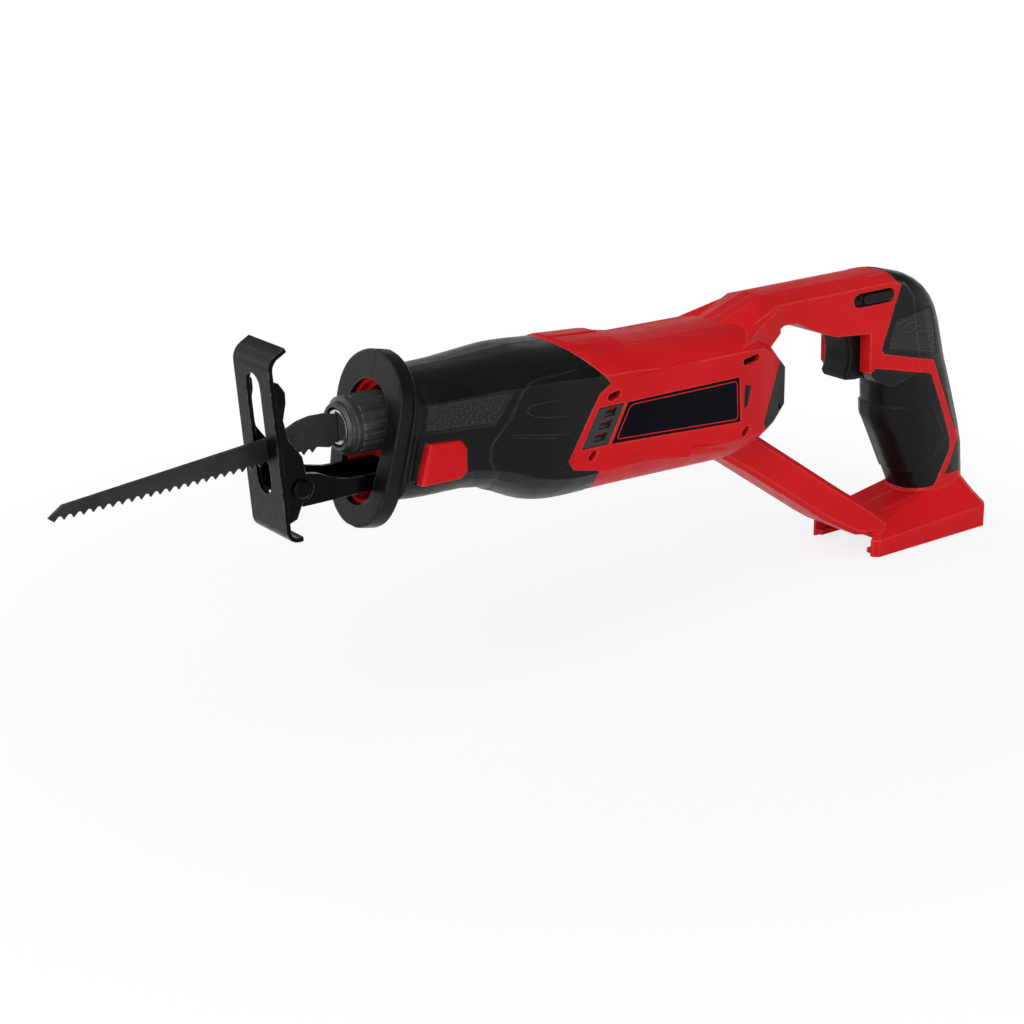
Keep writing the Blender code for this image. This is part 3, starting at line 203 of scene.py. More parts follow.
class Look:
    """A procedural material on a Principled shader, in the coordinates of the part."""

    def __init__(self, name, roughness, metallic=0.0, specular=0.5):
        self.material = bpy.data.materials.new(name)
        self.material.use_nodes = True
        self.tree = self.material.node_tree
        self.shader = self.tree.nodes["Principled BSDF"]
        self.shader.inputs["Roughness"].default_value = roughness
        self.shader.inputs["Metallic"].default_value = metallic
        self.shader.inputs["Specular IOR Level"].default_value = specular
        self.place = self.tree.nodes.new("ShaderNodeTexCoord").outputs["Object"]

    def noise(self, size_mm, detail=2.0, stretch=(1, 1, 1)):
        """Noise with features of about that size, drawn out along an axis by a stretch."""
        mapping = self.tree.nodes.new("ShaderNodeMapping")
        mapping.inputs["Scale"].default_value = [1 / (size_mm * MM * s) for s in stretch]
        texture = self.tree.nodes.new("ShaderNodeTexNoise")
        texture.inputs["Scale"].default_value = 1.0
        texture.inputs["Detail"].default_value = detail
        self.tree.links.new(self.place, mapping.inputs["Vector"])
        self.tree.links.new(mapping.outputs[0], texture.inputs["Vector"])
        return texture.outputs["Fac"]

    def span(self, value, low, high, out_low=0.0, out_high=1.0):
        node = self.tree.nodes.new("ShaderNodeMapRange")
        node.inputs["From Min"].default_value = low
        node.inputs["From Max"].default_value = high
        node.inputs["To Min"].default_value = out_low
        node.inputs["To Max"].default_value = out_high
        self.tree.links.new(value, node.inputs["Value"])
        return node.outputs["Result"]

    def times(self, first, second):
        node = self.tree.nodes.new("ShaderNodeMath")
        node.operation = "MULTIPLY"
        for socket, value in zip(node.inputs, (first, second)):
            if isinstance(value, float):
                socket.default_value = value
            else:
                self.tree.links.new(value, socket)
        return node.outputs[0]

    def mix(self, share, first, second):
        node = self.tree.nodes.new("ShaderNodeMix")
        node.data_type = "RGBA"
        self.tree.links.new(share, node.inputs["Factor"])
        for socket, value in ((node.inputs[6], first), (node.inputs[7], second)):
            if isinstance(value, tuple):
                socket.default_value = (*value, 1)
            else:
                self.tree.links.new(value, socket)
        return node.outputs[2]

    def colour(self, value):
        self.tree.links.new(value, self.shader.inputs["Base Color"])
        return self

    def rough(self, value):
        self.tree.links.new(value, self.shader.inputs["Roughness"])
        return self

    def bump(self, height, strength, depth_mm, round_mm=0.0):
        node = self.tree.nodes.new("ShaderNodeBump")
        node.inputs["Strength"].default_value = strength
        node.inputs["Distance"].default_value = depth_mm * MM
        self.tree.links.new(height, node.inputs["Height"])
        if round_mm:
            self.tree.links.new(self.round_normal(round_mm), node.inputs["Normal"])
        self.tree.links.new(node.outputs[0], self.shader.inputs["Normal"])
        return self

    def round_normal(self, radius_mm):
        node = self.tree.nodes.new("ShaderNodeBevel")
        node.samples = 4
        node.inputs["Radius"].default_value = radius_mm * MM
        return node.outputs[0]

    def edges(self, radius_mm, low, high):
        """Near one on sharp edges, where a coating wears and where a painted highlight lies."""
        geometry = self.tree.nodes.new("ShaderNodeNewGeometry")
        dot = self.tree.nodes.new("ShaderNodeVectorMath")
        dot.operation = "DOT_PRODUCT"
        self.tree.links.new(self.round_normal(radius_mm), dot.inputs[0])
        self.tree.links.new(geometry.outputs["Normal"], dot.inputs[1])
        return self.span(dot.outputs["Value"], high, low)


# Sizes of the marks in plastics
DRIFT_SIZE, GLOSS_SIZE, RUB_HIGHLIGHT_SIZE = 38, 7, 5
RUB_HIGHLIGHT_REACH, RUB_ROUND, GRAIN_DEPTH = 1.1, 0.9, 0.12
RUBBER_GLOSS_SIZE, RUBBER_GRAIN_SIZE, RUBBER_GRAIN_DEPTH = 2, 0.35, 0.1

# Sizes of the marks in metals
PATCH_SIZE, WEAR_HIGHLIGHT_SIZE, WEAR_HIGHLIGHT_REACH = 9, 3, 0.7
STREAK_GLOSS_SIZE, STREAK_SIZE, STREAK_DEPTH = 4, 0.7, 0.08
TOOL_MARK_SIZE, TOOL_MARK_DEPTH, TINT_SIZE = 0.9, 0.05, 12


def moulded(name, dark, light, roughness, grain_mm, grain, specular, rubbed_highlit_edge=None):
    """Moulded plastic: slight colour drift, uneven gloss, a spark-eroded grain and paler edges, partly from
    rubbing and partly a painted highlight.
    """
    look = Look(name, roughness, specular=specular)
    drift = look.span(look.noise(DRIFT_SIZE, 3.0), 0.35, 0.65)
    paint = look.mix(drift, dark, light)
    if rubbed_highlit_edge:
        # Paler edges, partly from rubbing and partly a painted highlight
        edges = look.edges(RUB_HIGHLIGHT_REACH, 0.88, 0.995)
        edge_wear_and_highlight = look.times(edges, look.span(look.noise(RUB_HIGHLIGHT_SIZE, 3.0), 0.3, 0.6, 0.4, 1.0))
        paint = look.mix(edge_wear_and_highlight, paint, rubbed_highlit_edge)
    look.colour(paint)
    look.rough(look.span(look.noise(GLOSS_SIZE, 4.0), 0.3, 0.7, roughness - 0.05, roughness + 0.06))
    look.bump(look.noise(grain_mm, 3.0), grain, GRAIN_DEPTH, RUB_ROUND if rubbed_highlit_edge else 0.0)
    return look


def grained(name, low, high, roughness, specular):
    """Textured rubber: painted shade in the hollows of its pattern and a painted highlight on the crests."""
    look = Look(name, roughness, specular=specular)
    hollow_shade_crest_highlight = look.tree.nodes.new("ShaderNodeNewGeometry").outputs["Pointiness"]
    # Painted shade in the hollows and a painted highlight on the crests, from the pointiness of the relief
    look.colour(look.mix(look.span(hollow_shade_crest_highlight, 0.47, 0.6), low, high))
    look.rough(look.span(look.noise(RUBBER_GLOSS_SIZE, 3.0), 0.3, 0.7, roughness - 0.06, roughness + 0.08))
    look.bump(look.noise(RUBBER_GRAIN_SIZE, 3.0), 0.2, RUBBER_GRAIN_DEPTH)
    return look


def coated_steel(name, dark, light, worn_highlit_edge, roughness, metallic, specular=0.5):
    """Blackened steel: fine streaks, patchy gloss and paler edges, bare metal where the coating wears off and
    a painted highlight.
    """
    look = Look(name, roughness, metallic, specular)
    patches = look.span(look.noise(PATCH_SIZE, 5.0), 0.35, 0.7)
    # Paler edges: bare metal where the coating wears off, and a painted highlight
    edge_wear_and_highlight = look.times(look.edges(WEAR_HIGHLIGHT_REACH, 0.8, 0.97), look.span(look.noise(WEAR_HIGHLIGHT_SIZE, 4.0), 0.38, 0.62))
    look.colour(look.mix(edge_wear_and_highlight, look.mix(patches, dark, light), worn_highlit_edge))
    gloss = look.noise(STREAK_GLOSS_SIZE, 4.0, (6, 1, 1))
    look.rough(look.span(gloss, 0.3, 0.7, roughness - 0.08, roughness + 0.1))
    look.bump(look.noise(STREAK_SIZE, 3.0, (5, 1, 1)), 0.12, STREAK_DEPTH)
    return look


def machined(name, dark, light, roughness, stretch):
    """Bare metal with tool marks drawn out along one axis."""
    look = Look(name, roughness, 1.0)
    marks = look.noise(TOOL_MARK_SIZE, 4.0, stretch)
    look.colour(look.mix(look.span(look.noise(TINT_SIZE, 3.0), 0.3, 0.7), dark, light))
    look.rough(look.span(marks, 0.3, 0.7, roughness - 0.07, roughness + 0.09))
    look.bump(marks, 0.1, TOOL_MARK_DEPTH)
    return look


# Colours, each as its darker and its lighter tone
RED = ((0.50, 0.007, 0.010), (0.55, 0.009, 0.013))
# Paler edge colour of the red: partly rubbing, partly a painted highlight
RED_RUBBED_HIGHLIT_EDGE = (0.68, 0.085, 0.065)
LINE_RED = ((0.52, 0.010, 0.018), (0.58, 0.012, 0.022))
SOFT_BLACK = ((0.0030, 0.0030, 0.0032), (0.0046, 0.0046, 0.0048))
HARD_BLACK = ((0.0030, 0.0030, 0.0032), (0.0046, 0.0045, 0.0045))
# Paler edge colour of the blacks: partly rubbing, partly a painted highlight
BLACK_RUBBED_HIGHLIT_EDGE = (0.04, 0.04, 0.04)
# Textured rubber: painted shade in the hollows and painted highlight on the crests
GRAINED_BLACK_SHADE_HIGHLIGHT = ((0.0016, 0.0016, 0.0017), (0.046, 0.046, 0.047))
GREY = ((0.020, 0.020, 0.021), (0.027, 0.027, 0.028))
LABEL_BLACK = ((0.0018, 0.0021, 0.0045), (0.0026, 0.0030, 0.006))
CARBON = ((0.03, 0.03, 0.03), (0.05, 0.05, 0.05))

# Coated metals, each as its darker and its lighter tone and its paler edges, which are bare metal where the
# coating wears off and, on the shoe plate, a painted highlight
PLATE_BLACK = ((0.0032, 0.0032, 0.0034), (0.0060, 0.0059, 0.0057), (0.2, 0.195, 0.19))
BLADE_BLACK = ((0.021, 0.021, 0.0215), (0.034, 0.034, 0.034), (0.16, 0.16, 0.16))
SLEEVE_BLACK = ((0.045, 0.044, 0.044), (0.068, 0.067, 0.066), (0.24, 0.24, 0.24))

# Bare metals, each as its darker and its lighter tone
STEEL = ((0.50, 0.50, 0.51), (0.60, 0.60, 0.61))
ALLOY = ((0.46, 0.47, 0.48), (0.56, 0.57, 0.58))
COPPER = ((0.66, 0.34, 0.18), (0.74, 0.41, 0.23))
BRONZE = ((0.44, 0.31, 0.14), (0.52, 0.38, 0.19))


def make_looks():
    looks = {
        "red": moulded("red_shell", *RED, roughness=0.42, grain_mm=0.5, grain=0.10, specular=0.07,
                       rubbed_highlit_edge=RED_RUBBED_HIGHLIT_EDGE),
        "soft": moulded("soft_black", *SOFT_BLACK, roughness=0.36, grain_mm=0.35, grain=0.22, specular=0.14,
                        rubbed_highlit_edge=BLACK_RUBBED_HIGHLIT_EDGE),
        "grained": grained("grained_black", *GRAINED_BLACK_SHADE_HIGHLIGHT, roughness=0.4, specular=0.22),
        "hard": moulded("hard_black", *HARD_BLACK, roughness=0.34, grain_mm=0.5, grain=0.12, specular=0.12,
                        rubbed_highlit_edge=BLACK_RUBBED_HIGHLIT_EDGE),
        "grey": moulded("grey_insert", *GREY, roughness=0.46, grain_mm=0.5, grain=0.12, specular=0.25),
        "label": moulded("label_film", *LABEL_BLACK, roughness=0.18, grain_mm=0.9, grain=0.03, specular=0.03),
        "trim": moulded("red_trim", *RED, roughness=0.42, grain_mm=0.5, grain=0.10, specular=0.07),
        "line": moulded("label_line", *LINE_RED, roughness=0.3, grain_mm=0.6, grain=0.05, specular=0.16),
        "plate": coated_steel("black_plate", *PLATE_BLACK, roughness=0.3, metallic=0.75, specular=0.12),
        "blade": coated_steel("black_blade", *BLADE_BLACK, roughness=0.44, metallic=0.7),
        "sleeve": coated_steel("black_sleeve", *SLEEVE_BLACK, roughness=0.38, metallic=0.6),
        "steel": machined("bare_steel", *STEEL, roughness=0.30, stretch=(8, 1, 1)),
        "cast": machined("cast_alloy", *ALLOY, roughness=0.46, stretch=(1, 1, 1)),
        "copper": machined("copper_alloy", *COPPER, roughness=0.32, stretch=(6, 1, 1)),
        "bronze": machined("sintered_bronze", *BRONZE, roughness=0.5, stretch=(1, 1, 1)),
        "carbon": moulded("carbon", *CARBON, roughness=0.6, grain_mm=0.6, grain=0.2, specular=0.4),
    }
    return {key: look.material for key, look in looks.items()}


LOOKS = make_looks()
SCREW_NODES = sorted(name for name in NODES if name.startswith("housing_screw"))
SPRING_NODES = ("trigger_spring", "release_spring")
DRESS = {
    "red": ("left_housing", "right_housing", "release_button"),
    "soft": ("left_nose_cover", "right_nose_cover", "left_front_grip", "right_front_grip", "left_back_grip",
             "right_back_grip", "left_heel_pad", "right_heel_pad", "dust_seal"),
    "hard": ("rear_vent_cap", "trigger", "lock_off_button", "switch_module", "terminal_block",
             "motor_end_cap", "cooling_fan"),
    "grey": ("left_vent_insert", "right_vent_insert"),
    "label": ("label_plate",),
    "plate": ("shoe_plate", "shoe_bracket", "shoe_pin"),
    "blade": ("saw_blade",),
    "sleeve": ("chuck_sleeve",),
    "steel": ("motor_can", "armature", "motor_shaft", "pinion", "front_motor_bearing", "rear_motor_bearing",
              "crank_gear", "crank_roller", "upper_crank_bearing", "lower_crank_bearing", "plunger",
              "chuck_body", "chuck_clip", *SPRING_NODES, *SCREW_NODES),
    "cast": ("lower_gear_case", "upper_gear_case"),
    "copper": ("commutator", "plus_terminal", "signal_terminal", "minus_terminal"),
    "bronze": ("plunger_bush",),
    "carbon": ("left_brush", "right_brush", "left_magnet", "right_magnet"),
}
EDGE_ANGLE = math.radians(28)
EDGE_WIDTHS = {"red": 0.55, "soft": 0.6, "hard": 0.5, "grey": 0.3, "label": 0.15, "plate": 0.35, "blade": 0.1,
               "sleeve": 0.25}
INNER_EDGE = 0.2
WELD_M = 2e-6
FLAT_WEIGHT = 60


def dress_node(obj, material, width_mm):
    """A better material, welded faces and softened edges on a CAD node, whose own mesh stays as it is."""
    obj.data.materials.clear()
    obj.data.materials.append(material)
    custom = obj.data.attributes.get("custom_normal")
    if custom:
        obj.data.attributes.remove(custom)
    obj.data.shade_smooth()
    soften(obj, width_mm)


def soften(obj, width_mm):
    """Modifiers that join the faces, round the sharp edges and keep the flats evenly shaded."""
    weld = obj.modifiers.new("Weld", "WELD")
    weld.merge_threshold = WELD_M
    bevel = obj.modifiers.new("Bevel", "BEVEL")
    bevel.width = width_mm * MM
    bevel.segments = 2
    bevel.limit_method = "ANGLE"
    bevel.angle_limit = EDGE_ANGLE
    bevel.miter_outer = "MITER_ARC"
    bevel.use_clamp_overlap = True
    normals = obj.modifiers.new("Normals", "WEIGHTED_NORMAL")
    normals.keep_sharp = False
    normals.weight = FLAT_WEIGHT


def dress_nodes():
    for key, names in DRESS.items():
        for name in names:
            dress_node(NODES[name], LOOKS[key], EDGE_WIDTHS.get(key, INNER_EDGE))


PATCH_STEPS = 3


def make_covers():
    for word in ("left", "right"):
        curved(f"{word}_nose_skin", f"{word}_nose_cover", PATCH_STEPS, "housing", "soft")


# Finger guard, which leans back, and the flared neck behind it
GUARD_Z, GUARD_SLOPE = 103.8, math.tan(math.radians(12.0))
NECK_X, NECK_LENGTH, NECK_RISE, NECK_DEPTH, NECK_SUNK = -324.4, 6.4, 3.4, 1.2, 0.15
NECK_REACH, NECK_FAR = 24.0, 80.0
NECK_ROWS = 8
NECK_TURN_DEG = 4


def neck_section(cover, angle, side):
    """The flare from nose cover to guard at one angle round the nose, and its way back inside the cover."""
    out = Vector((0, side * math.sin(angle), math.cos(angle)))
    reach = NECK_REACH
    for _ in range(3):
        x = NECK_X + NECK_LENGTH + reach * out.z * GUARD_SLOPE
        start = Vector((x, 0, GUARD_Z)) + out * NECK_FAR
        hit = cover.ray_cast(start * MM, -out)[0]
        if hit is None:
            raise RuntimeError(f"no cover at {math.degrees(angle):.0f} degrees round the neck")
        reach = NECK_FAR - (hit / MM - start).length
    front = NECK_X + reach * out.z * GUARD_SLOPE
    section = []
    for row in range(NECK_ROWS + 1):
        turn = math.pi / 2 * row / NECK_ROWS
        rise = NECK_RISE * (1 - math.sin(turn)) - NECK_SUNK
        x = front + NECK_LENGTH * (1 - math.cos(turn))
        section.append(Vector((x, 0, GUARD_Z)) + out * (reach + rise))
    for x in (front + NECK_LENGTH, front):
        section.append(Vector((x, 0, GUARD_Z)) + out * (reach - NECK_DEPTH))
    return [point * MM for point in section]


def make_necks():
    """A flared neck behind the finger guard on each cover."""
    for side, word in ((-1, "left"), (1, "right")):
        cover = surface_of(f"{word}_nose_cover")
        angles = [math.radians(a) for a in range(2, 180, NECK_TURN_DEG)]
        points = [point for angle in angles for point in neck_section(cover, angle, side)]
        size = NECK_ROWS + 3
        faces = [list(range(size)), list(range(len(points) - size, len(points)))]
        for i in range(len(angles) - 1):
            for k in range(size):
                m = (k + 1) % size
                faces.append([i * size + k, i * size + m, (i + 1) * size + m, (i + 1) * size + k])
        mesh_piece(f"{word}_guard_neck", points, faces, "housing", "soft")


# Opening in the guard, a large circle over a smaller one, and the sliding bracket that passes through it
MOUTH_TOP_Z, MOUTH_TOP_R, MOUTH_LOW_Z, MOUTH_LOW_R = 114.4, 16.0, 89.4, 12.9
MOUTH_STEP = 1.0
BRACKET_HALF, BRACKET_LOW_Z, BRACKET_TOP_Z = 11.8, 85.4, 100.5
LINING_FRONT_X, LINING_BACK_X = -329.0, -320.8
LINING_THICK, LINING_LEAST, LINING_ROOM, LINING_SUNK = 1.6, 0.05, 0.5, 0.6
LINING_EDGE = 0.15


def mouth_rim():
    """Places round the opening in the guard, and the way out from each, as (y, z)."""
    turn = math.asin((MOUTH_TOP_R - MOUTH_LOW_R) / (MOUTH_TOP_Z - MOUTH_LOW_Z))
    corners = []
    for z, radius, start, end in ((MOUTH_TOP_Z, MOUTH_TOP_R, -turn, math.pi + turn),
                                  (MOUTH_LOW_Z, MOUTH_LOW_R, math.pi + turn, 2 * math.pi - turn)):
        steps = math.ceil((end - start) * radius / MOUTH_STEP)
        for i in range(steps + 1):
            angle = start + (end - start) * i / steps
            way = Vector((math.cos(angle), math.sin(angle)))
            corners.append((Vector((0, z)) + way * radius, way))
    rim = []
    for (here, way), (there, _) in zip(corners, (*corners[1:], corners[0])):
        steps = math.ceil((there - here).length / MOUTH_STEP)
        rim += [(here.lerp(there, i / steps), way) for i in range(steps)]
    return rim


def bracket_gap(place):
    """Distance from a place in the opening to the sliding bracket."""
    across = max(0.0, abs(place.x) - BRACKET_HALF)
    above = max(0.0, BRACKET_LOW_Z - place.y, place.y - BRACKET_TOP_Z)
    return math.hypot(across, above)


def make_lining():
    """The red lining of the guard's opening, thin where the bracket passes close to it."""
    rim = mouth_rim()
    points = []
    for place, way in rim:
        thick = min(LINING_THICK, max(LINING_LEAST, bracket_gap(place) - LINING_ROOM))
        inner = place - way * thick
        outer = place + way * LINING_SUNK
        front = LINING_FRONT_X + (place.y - GUARD_Z) * GUARD_SLOPE
        for x, at in ((front, outer), (front, inner), (LINING_BACK_X, inner), (LINING_BACK_X, outer)):
            points.append(Vector((x, at.x, at.y)) * MM)
    faces = []
    for i in range(len(rim)):
        j = (i + 1) % len(rim)
        faces += [[i * 4 + k, i * 4 + (k + 1) % 4, j * 4 + (k + 1) % 4, j * 4 + k] for k in range(4)]
    soften(mesh_piece("guard_lining", points, faces, "housing", "trim"), LINING_EDGE)


def corner_normals(bm):
    """A normal for each corner, shared by the faces round a vertex that meet without a sharp edge."""
    normals = {}
    for vertex in bm.verts:
        left = set(vertex.link_faces)
        while left:
            group = [left.pop()]
            for face in group:
                for edge in face.edges:
                    if vertex in edge.verts and edge.calc_face_angle(0) < EDGE_ANGLE:
                        near = [other for other in edge.link_faces if other in left]
                        left.difference_update(near)
                        group += near
            total = Vector()
            for face in group:
                corner = next(loop for loop in face.loops if loop.vert is vertex)
                total += face.normal * face.calc_area() * corner.calc_angle()
            for face in group:
                normals[vertex.index, face.index] = total.normalized()
    return normals


LEAST_CREASE = 0.1


def edge_handles(bm, normals):
    """Control points a third along each edge, keyed by the vertex they are near and the one they lead to."""
    handles = {}
    for edge in bm.edges:
        first, second = edge.verts
        for here, there in ((first, second), (second, first)):
            way = there.co - here.co
            sides = [normals[here.index, face.index] for face in edge.link_faces]
            crease = sides[0].cross(sides[-1])
            if crease.length > LEAST_CREASE:
                crease.normalize()
                handle = crease * way.dot(crease)
            else:
                handle = way - sides[0] * way.dot(sides[0])
            handles[here.index, there.index] = here.co + handle / 3
    return handles


SURFACES = {}


def curved(name, node, steps, body, look):
    """A piece for a CAD node whose shallow creases become curves: each triangle turns into a cubic patch."""
    bm = bmesh.new()
    bm.from_mesh(NODES[node].data)
    bmesh.ops.remove_doubles(bm, verts=bm.verts, dist=WELD_M)
    bmesh.ops.triangulate(bm, faces=bm.faces)
    bm.normal_update()
    handles = edge_handles(bm, corner_normals(bm))
    grid = [(i, j) for i in range(steps + 1) for j in range(steps + 1 - i)]
    place = {key: k for k, key in enumerate(grid)}
    points = []
    faces = []
    for face in bm.faces:
        a, b, c = face.verts
        ab, ba, bc, cb, ca, ac = (handles[i.index, j.index] for i, j in (
            (a, b), (b, a), (b, c), (c, b), (c, a), (a, c)))
        rim = (ab + ba + bc + cb + ca + ac) / 6
        middle = rim + (rim - (a.co + b.co + c.co) / 3) / 2
        start = len(points)
        for i, j in grid:
            u, v = i / steps, j / steps
            w = 1 - u - v
            points.append(a.co * w ** 3 + b.co * u ** 3 + c.co * v ** 3
                          + 3 * (ab * w * w * u + ba * w * u * u + bc * u * u * v + cb * u * v * v
                                 + ca * w * v * v + ac * w * w * v) + 6 * middle * u * v * w)
        for i, j in grid:
            if i + j < steps:
                faces.append([start + place[key] for key in ((i, j), (i + 1, j), (i, j + 1))])
            if i + j < steps - 1:
                faces.append([start + place[key] for key in ((i + 1, j), (i + 1, j + 1), (i, j + 1))])
    bm.free()
    piece = mesh_piece(name, points, faces, body, look)
    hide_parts(node)
    SURFACES[node] = piece.data
    soften(piece, EDGE_WIDTHS[look])


def surface_of(*names):
    """The faces of some CAD nodes, or of the pieces that stand for them, to lay pieces on."""
    points = []
    faces = []
    for name in names:
        mesh = SURFACES.get(name, NODES[name].data)
        start = len(points)
        points += [vertex.co.copy() for vertex in mesh.vertices]
        faces += [[start + i for i in face.vertices] for face in mesh.polygons]
    return BVHTree.FromPolygons(points, faces)


def mesh_piece(name, points, faces, body, look):
    mesh = bpy.data.meshes.new(name)
    mesh.from_pydata(points, [], faces)
    bm = bmesh.new()
    bm.from_mesh(mesh)
    bmesh.ops.recalc_face_normals(bm, faces=bm.faces)
    bm.to_mesh(mesh)
    bm.free()
    mesh.shade_smooth()
    mesh.materials.append(LOOKS[look])
    obj = bpy.data.objects.new(name, mesh)
    bpy.context.scene.collection.objects.link(obj)
    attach(obj, body)
    return obj


CUT_REACH = 1e-5


def outline_grid(outline, spacing):
    """Points and faces of a grid inside a convex outline, and each point's distance to the outline."""
    xs = [x for x, _ in outline]
    zs = [z for _, z in outline]
    columns = math.ceil((max(xs) - min(xs)) / spacing)
    rows = math.ceil((max(zs) - min(zs)) / spacing)
    bm = bmesh.new()
    bmesh.ops.create_grid(bm, x_segments=columns, y_segments=rows, size=0.5)
    for vertex in bm.verts:
        vertex.co.x = (max(xs) + min(xs)) / 2 + vertex.co.x * (max(xs) - min(xs))
        vertex.co.y = (max(zs) + min(zs)) / 2 + vertex.co.y * (max(zs) - min(zs))
    area = sum(a[0] * b[1] - b[0] * a[1] for a, b in zip(outline, (*outline[1:], outline[0])))
    turn = 1 if area > 0 else -1
    walls = []
    for a, b in zip(outline, (*outline[1:], outline[0])):
        outward = Vector((b[1] - a[1], a[0] - b[0], 0)).normalized() * turn
        walls.append((Vector((*a, 0)), outward))
        geometry = [*bm.verts, *bm.edges, *bm.faces]
        bmesh.ops.bisect_plane(bm, geom=geometry, dist=CUT_REACH, plane_co=walls[-1][0], plane_no=outward,
                               clear_outer=True)
    bm.verts.index_update()
    places = [vertex.co.copy() for vertex in bm.verts]
    faces = [[vertex.index for vertex in face.verts] for face in bm.faces]
    rim = [(edge.verts[0].index, edge.verts[1].index) for edge in bm.edges if len(edge.link_faces) == 1]
    bm.free()
    inside = [min((origin - place).dot(outward) for origin, outward in walls) for place in places]
    return places, faces, rim, inside


FAR_SIDE, FAR_TOP = 200, 300


def spot(surface, view, u, v):
    """Where the left (-1), the right (1) or the top (0) is met at a place, and the normal there."""
    start = Vector((u, view * FAR_SIDE, v)) if view else Vector((u, v, FAR_TOP))
    hit, normal, _, _ = surface.ray_cast(start * MM, Vector((0, -view, 0 if view else -1)))
    if hit is None:
        raise RuntimeError(f"nothing under {u:.1f}, {v:.1f}")
    return hit, normal


def skin(name, outline, surface, view, spacing, height, depth, body, look):
    """A thin closed skin over part of a surface, as seen from one side, with a height for every place."""
    places, faces, rim, inside = outline_grid(outline, spacing)
    top = []
    low = []
    for place, edge in zip(places, inside):
        hit, normal = spot(surface, view, place.x, place.y)
        top.append(hit + normal * height(place.x, place.y, edge) * MM)
        low.append(hit - normal * depth * MM)
    count = len(top)
    closed = [*faces, *[[i + count for i in face[::-1]] for face in faces]]
    closed += [[a, b, b + count, a + count] for a, b in rim]
    return mesh_piece(name, top + low, closed, body, look)


def ease(edge, reach):
    """From nought on an outline to one at a reach inside it."""
    share = min(1.0, max(0.0, edge / reach))
    return share * share * (3 - 2 * share)


BEAD = ((-0.5, -1.0), (-0.5, 0.25), (-0.28, 0.8), (0.0, 1.0), (0.28, 0.8), (0.5, 0.25), (0.5, -1.0))
LEDGE = ((-0.5, -1.0), (-0.5, -0.45), (0.0, 0.35), (0.36, 0.9), (0.44, 0.8), (0.5, 0.1), (0.5, -1.0))
BEAD_STEP = 1.2
END_STEPS = 7


def bead(name, path, surface, width, height, body, slot, look, closed=False, form=BEAD):
    """A raised line along a path of points, laid on the nearest surface."""
    legs = list(zip(path, [*path[1:], path[0]] if closed else path[1:]))
    line = []
    for a, b in legs:
        first, second = Vector(a) * MM, Vector(b) * MM
        steps = max(1, math.ceil((second - first).length / (BEAD_STEP * MM)))
        line += [first.lerp(second, i / steps) for i in range(steps)]
    if not closed:
        line.append(Vector(path[-1]) * MM)
    spots = [surface.find_nearest(point)[:2] for point in line]
    points = []
    for i, (here, normal) in enumerate(spots):
        full = 1.0 if closed else 0.1 + 0.9 * ease(min(i, len(spots) - 1 - i), END_STEPS)
        before = spots[i - 1][0] if closed or i > 0 else here
        after = spots[(i + 1) % len(spots)][0] if closed or i + 1 < len(spots) else here
        across = normal.cross(after - before).normalized()
        points += [here + across * u * width * full * MM + normal * v * height * full * MM for u, v in form]
    size = len(form)
    rings = len(spots)
    faces = []
    for i in range(rings if closed else rings - 1):
        j = (i + 1) % rings
        for k in range(size):
            m = (k + 1) % size
            faces.append([i * size + k, i * size + m, j * size + m, j * size + k])
    if not closed:
        faces += [list(range(size)), [(rings - 1) * size + k for k in range(size)]]
    return mesh_piece(name, points, faces, body, look)


LEATHER_CELL = 1.7
LEATHER_RISE = 0.5


def leather(x, z, edge):
    near = noise.voronoi(Vector((x, z * 1.25, 3.7)) / LEATHER_CELL)[0]
    return 0.08 + LEATHER_RISE * ease(edge, 0.8) * min(1.0, 2.2 * (near[1] - near[0]))


WAVE_PITCH = 1.9
WAVE_RISE = 0.3


def waves(x, z, edge):
    drift = 2.6 * noise.noise(Vector((x / 9, 0.7, z / 7)))
    swing = 0.5 * math.sin(x / 4.2 + 0.3 * z)
    phase = 2 * math.pi * (z + swing + drift + 0.12 * x) / WAVE_PITCH
    return 0.06 + WAVE_RISE * ease(edge, 1.2) * (0.5 + 0.5 * math.sin(phase)) ** 2


def raised(low, rise, reach):
    """The height of a plain pad that rises from its outline over a reach."""
    def height(u, v, edge):
        return low + rise * ease(edge, reach)
    return height


LEATHER_GRID, WAVE_GRID, CROWN_GRID, WEDGE_GRID = 0.5, 0.55, 0.8, 1.0
SKIN_DEPTH, WEDGE_DEPTH = 0.6, 0.5
CROWN_PADS = (("crown_band", CROWN_BAND, raised(0.0, 0.9, 1.6)),
              ("crown_shoulder", CROWN_SHOULDER, raised(0.0, 0.6, 1.6)))


def make_texture_panels():
    for side, word in ((-1, "left"), (1, "right")):
        cover = surface_of(f"{word}_nose_cover")
        skin(f"{word}_nose_panel", NOSE_PANEL, cover, side, LEATHER_GRID, leather, SKIN_DEPTH, "housing",
             "grained")
        grip = surface_of(f"{word}_back_grip")
        skin(f"{word}_back_panel", BACK_PANEL, grip, side, WAVE_GRID, waves, SKIN_DEPTH, "housing",
             "grained")
        shell = surface_of(f"{word}_housing")
        for name, outline, height in CROWN_PADS:
            turned = [(x, -side * y) for x, y in outline]
            skin(f"{word}_{name}", turned, shell, 0, CROWN_GRID, height, SKIN_DEPTH, "housing",
                 "trim")
    skin("label_wedge", WEDGE, surface_of("left_housing"), -1, WEDGE_GRID, raised(0.05, 0.35, 0.7),
         WEDGE_DEPTH, "housing", "hard")


SLATS = ((-231.8, 91.2), (-228.9, 96.4), (-226.0, 101.6))
SLAT = ((0.2, -0.3, 31.4), (7.1, -0.3, 31.4), (8.2, 1.9, 30.4), (1.4, 1.9, 30.4))
SLAT_THICK = 0.6


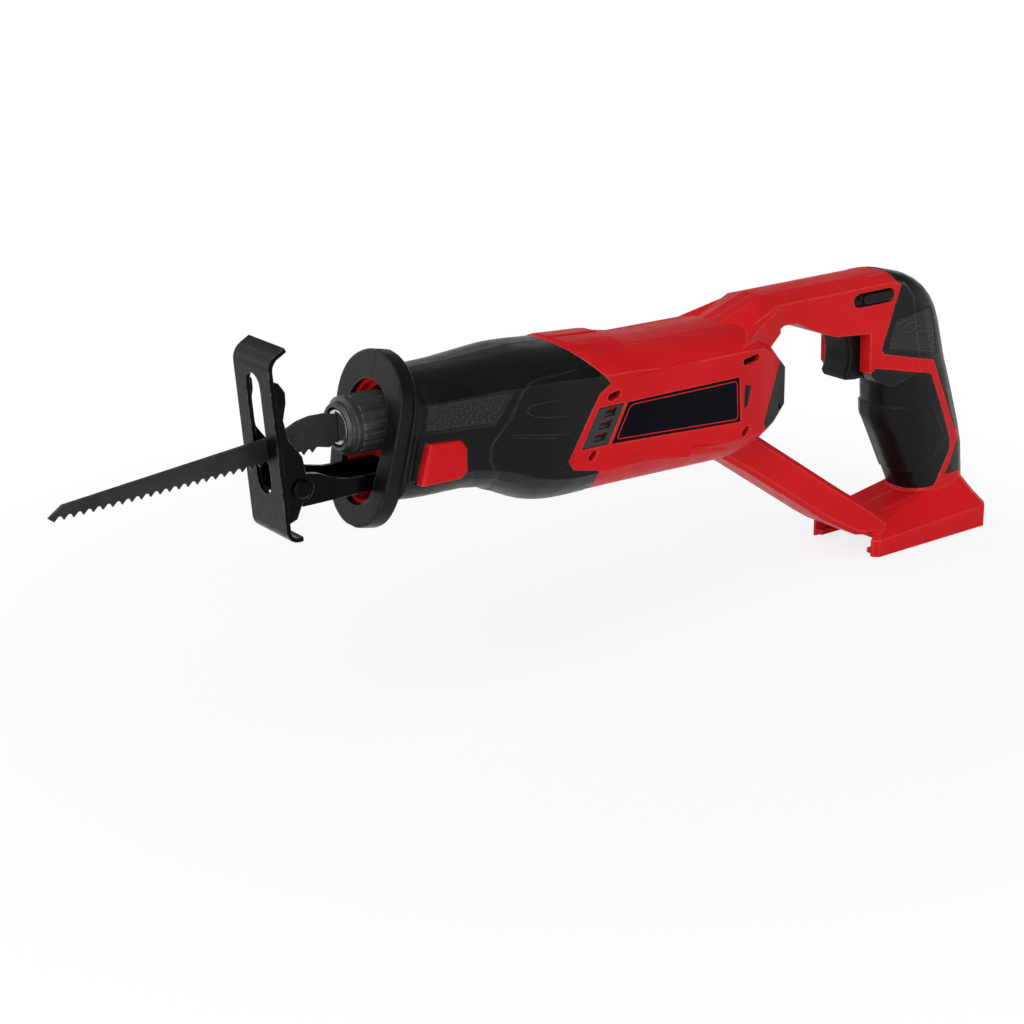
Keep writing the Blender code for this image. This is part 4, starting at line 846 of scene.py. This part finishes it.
def make_slats():
    """Louvre blades that lean in behind the windows of the vent inserts."""
    for side, word in ((-1, "left"), (1, "right")):
        points = []
        faces = []
        for x, z in SLATS:
            k = len(points)
            for inset in (0.0, SLAT_THICK):
                points += [Vector((x + u, side * (y - inset), z + v)) * MM for u, v, y in SLAT]
            faces += [[k, k + 1, k + 2, k + 3], [k + 7, k + 6, k + 5, k + 4]]
            faces += [[k + i, k + 4 + i, k + 4 + (i + 1) % 4, k + (i + 1) % 4] for i in range(4)]
        mesh_piece(f"{word}_vent_slats", points, faces, "housing", "grey")


def side_path(surface, outline, view):
    """Points on a surface, as seen from one side."""
    return [spot(surface, view, u, v)[0] / MM for u, v in outline]


def rounded(outline, radius, steps=4):
    """An outline whose corners are turned into curves."""
    path = []
    for i, corner in enumerate(outline):
        here = Vector(corner)
        before = Vector(outline[i - 1])
        after = Vector(outline[(i + 1) % len(outline)])
        first = here + (before - here).normalized() * radius
        last = here + (after - here).normalized() * radius
        for step in range(steps + 1):
            t = step / steps
            path.append(tuple(first * (1 - t) ** 2 + here * 2 * t * (1 - t) + last * t ** 2))
    return path


# Raised lines, each as its width and height, and the corners of the closed ones
LABEL_BEAD = (0.5, 0.08)
BULGE_BEAD = (0.7, 0.22)
CHEEK_BEAD = (5.5, 0.75)
CROWN_BEAD = (1.2, 0.2)
RIM_BEAD = (0.9, 0.4)
LABEL_CORNER, RIM_CORNER = 2.2, 1.5


def make_lines():
    label = surface_of("label_plate")
    outline = side_path(label, rounded(LABEL_LINE, LABEL_CORNER), -1)
    bead("label_line", outline, label, *LABEL_BEAD, "housing", "red_plastic", "line", closed=True)
    for side, word in ((-1, "left"), (1, "right")):
        cover = surface_of(f"{word}_nose_cover")
        for i, line in enumerate((BULGE_LOOP, *BULGE_LINES)):
            bead(f"{word}_bulge_line_{i + 1}", side_path(cover, line, side), cover, *BULGE_BEAD, "housing",
                 "black_soft", "soft")
        shell = surface_of(f"{word}_housing")
        for name, line, turn in (("cheek_top", CHEEK_TOP, -side), ("cheek_low", CHEEK_LOW, side)):
            bead(f"{word}_{name}", side_path(shell, line[::turn], side), shell, *CHEEK_BEAD, "housing",
                 "red_plastic", "trim", form=LEDGE)
        crown = [(x, -side * y) for x, y in CROWN_LINE]
        bead(f"{word}_crown_line", side_path(shell, crown, 0), shell, *CROWN_BEAD, "housing", "red_plastic",
             "trim")
        grip = surface_of(f"{word}_back_grip")
        rim = side_path(grip, rounded(BACK_PANEL, RIM_CORNER), side)
        bead(f"{word}_back_rim", rim, grip, *RIM_BEAD, "housing", "black_soft", "soft", closed=True)


def make_studio():
    bpy.context.scene.view_settings.view_transform = "Standard"
    make_camera()
    make_world()
    make_floor()
    for name, towards, level in LAMPS:
        lamp(name, towards, level)


make_studio()
dress_nodes()
make_covers()
make_necks()
make_lining()
make_texture_panels()
make_slats()
make_lines()
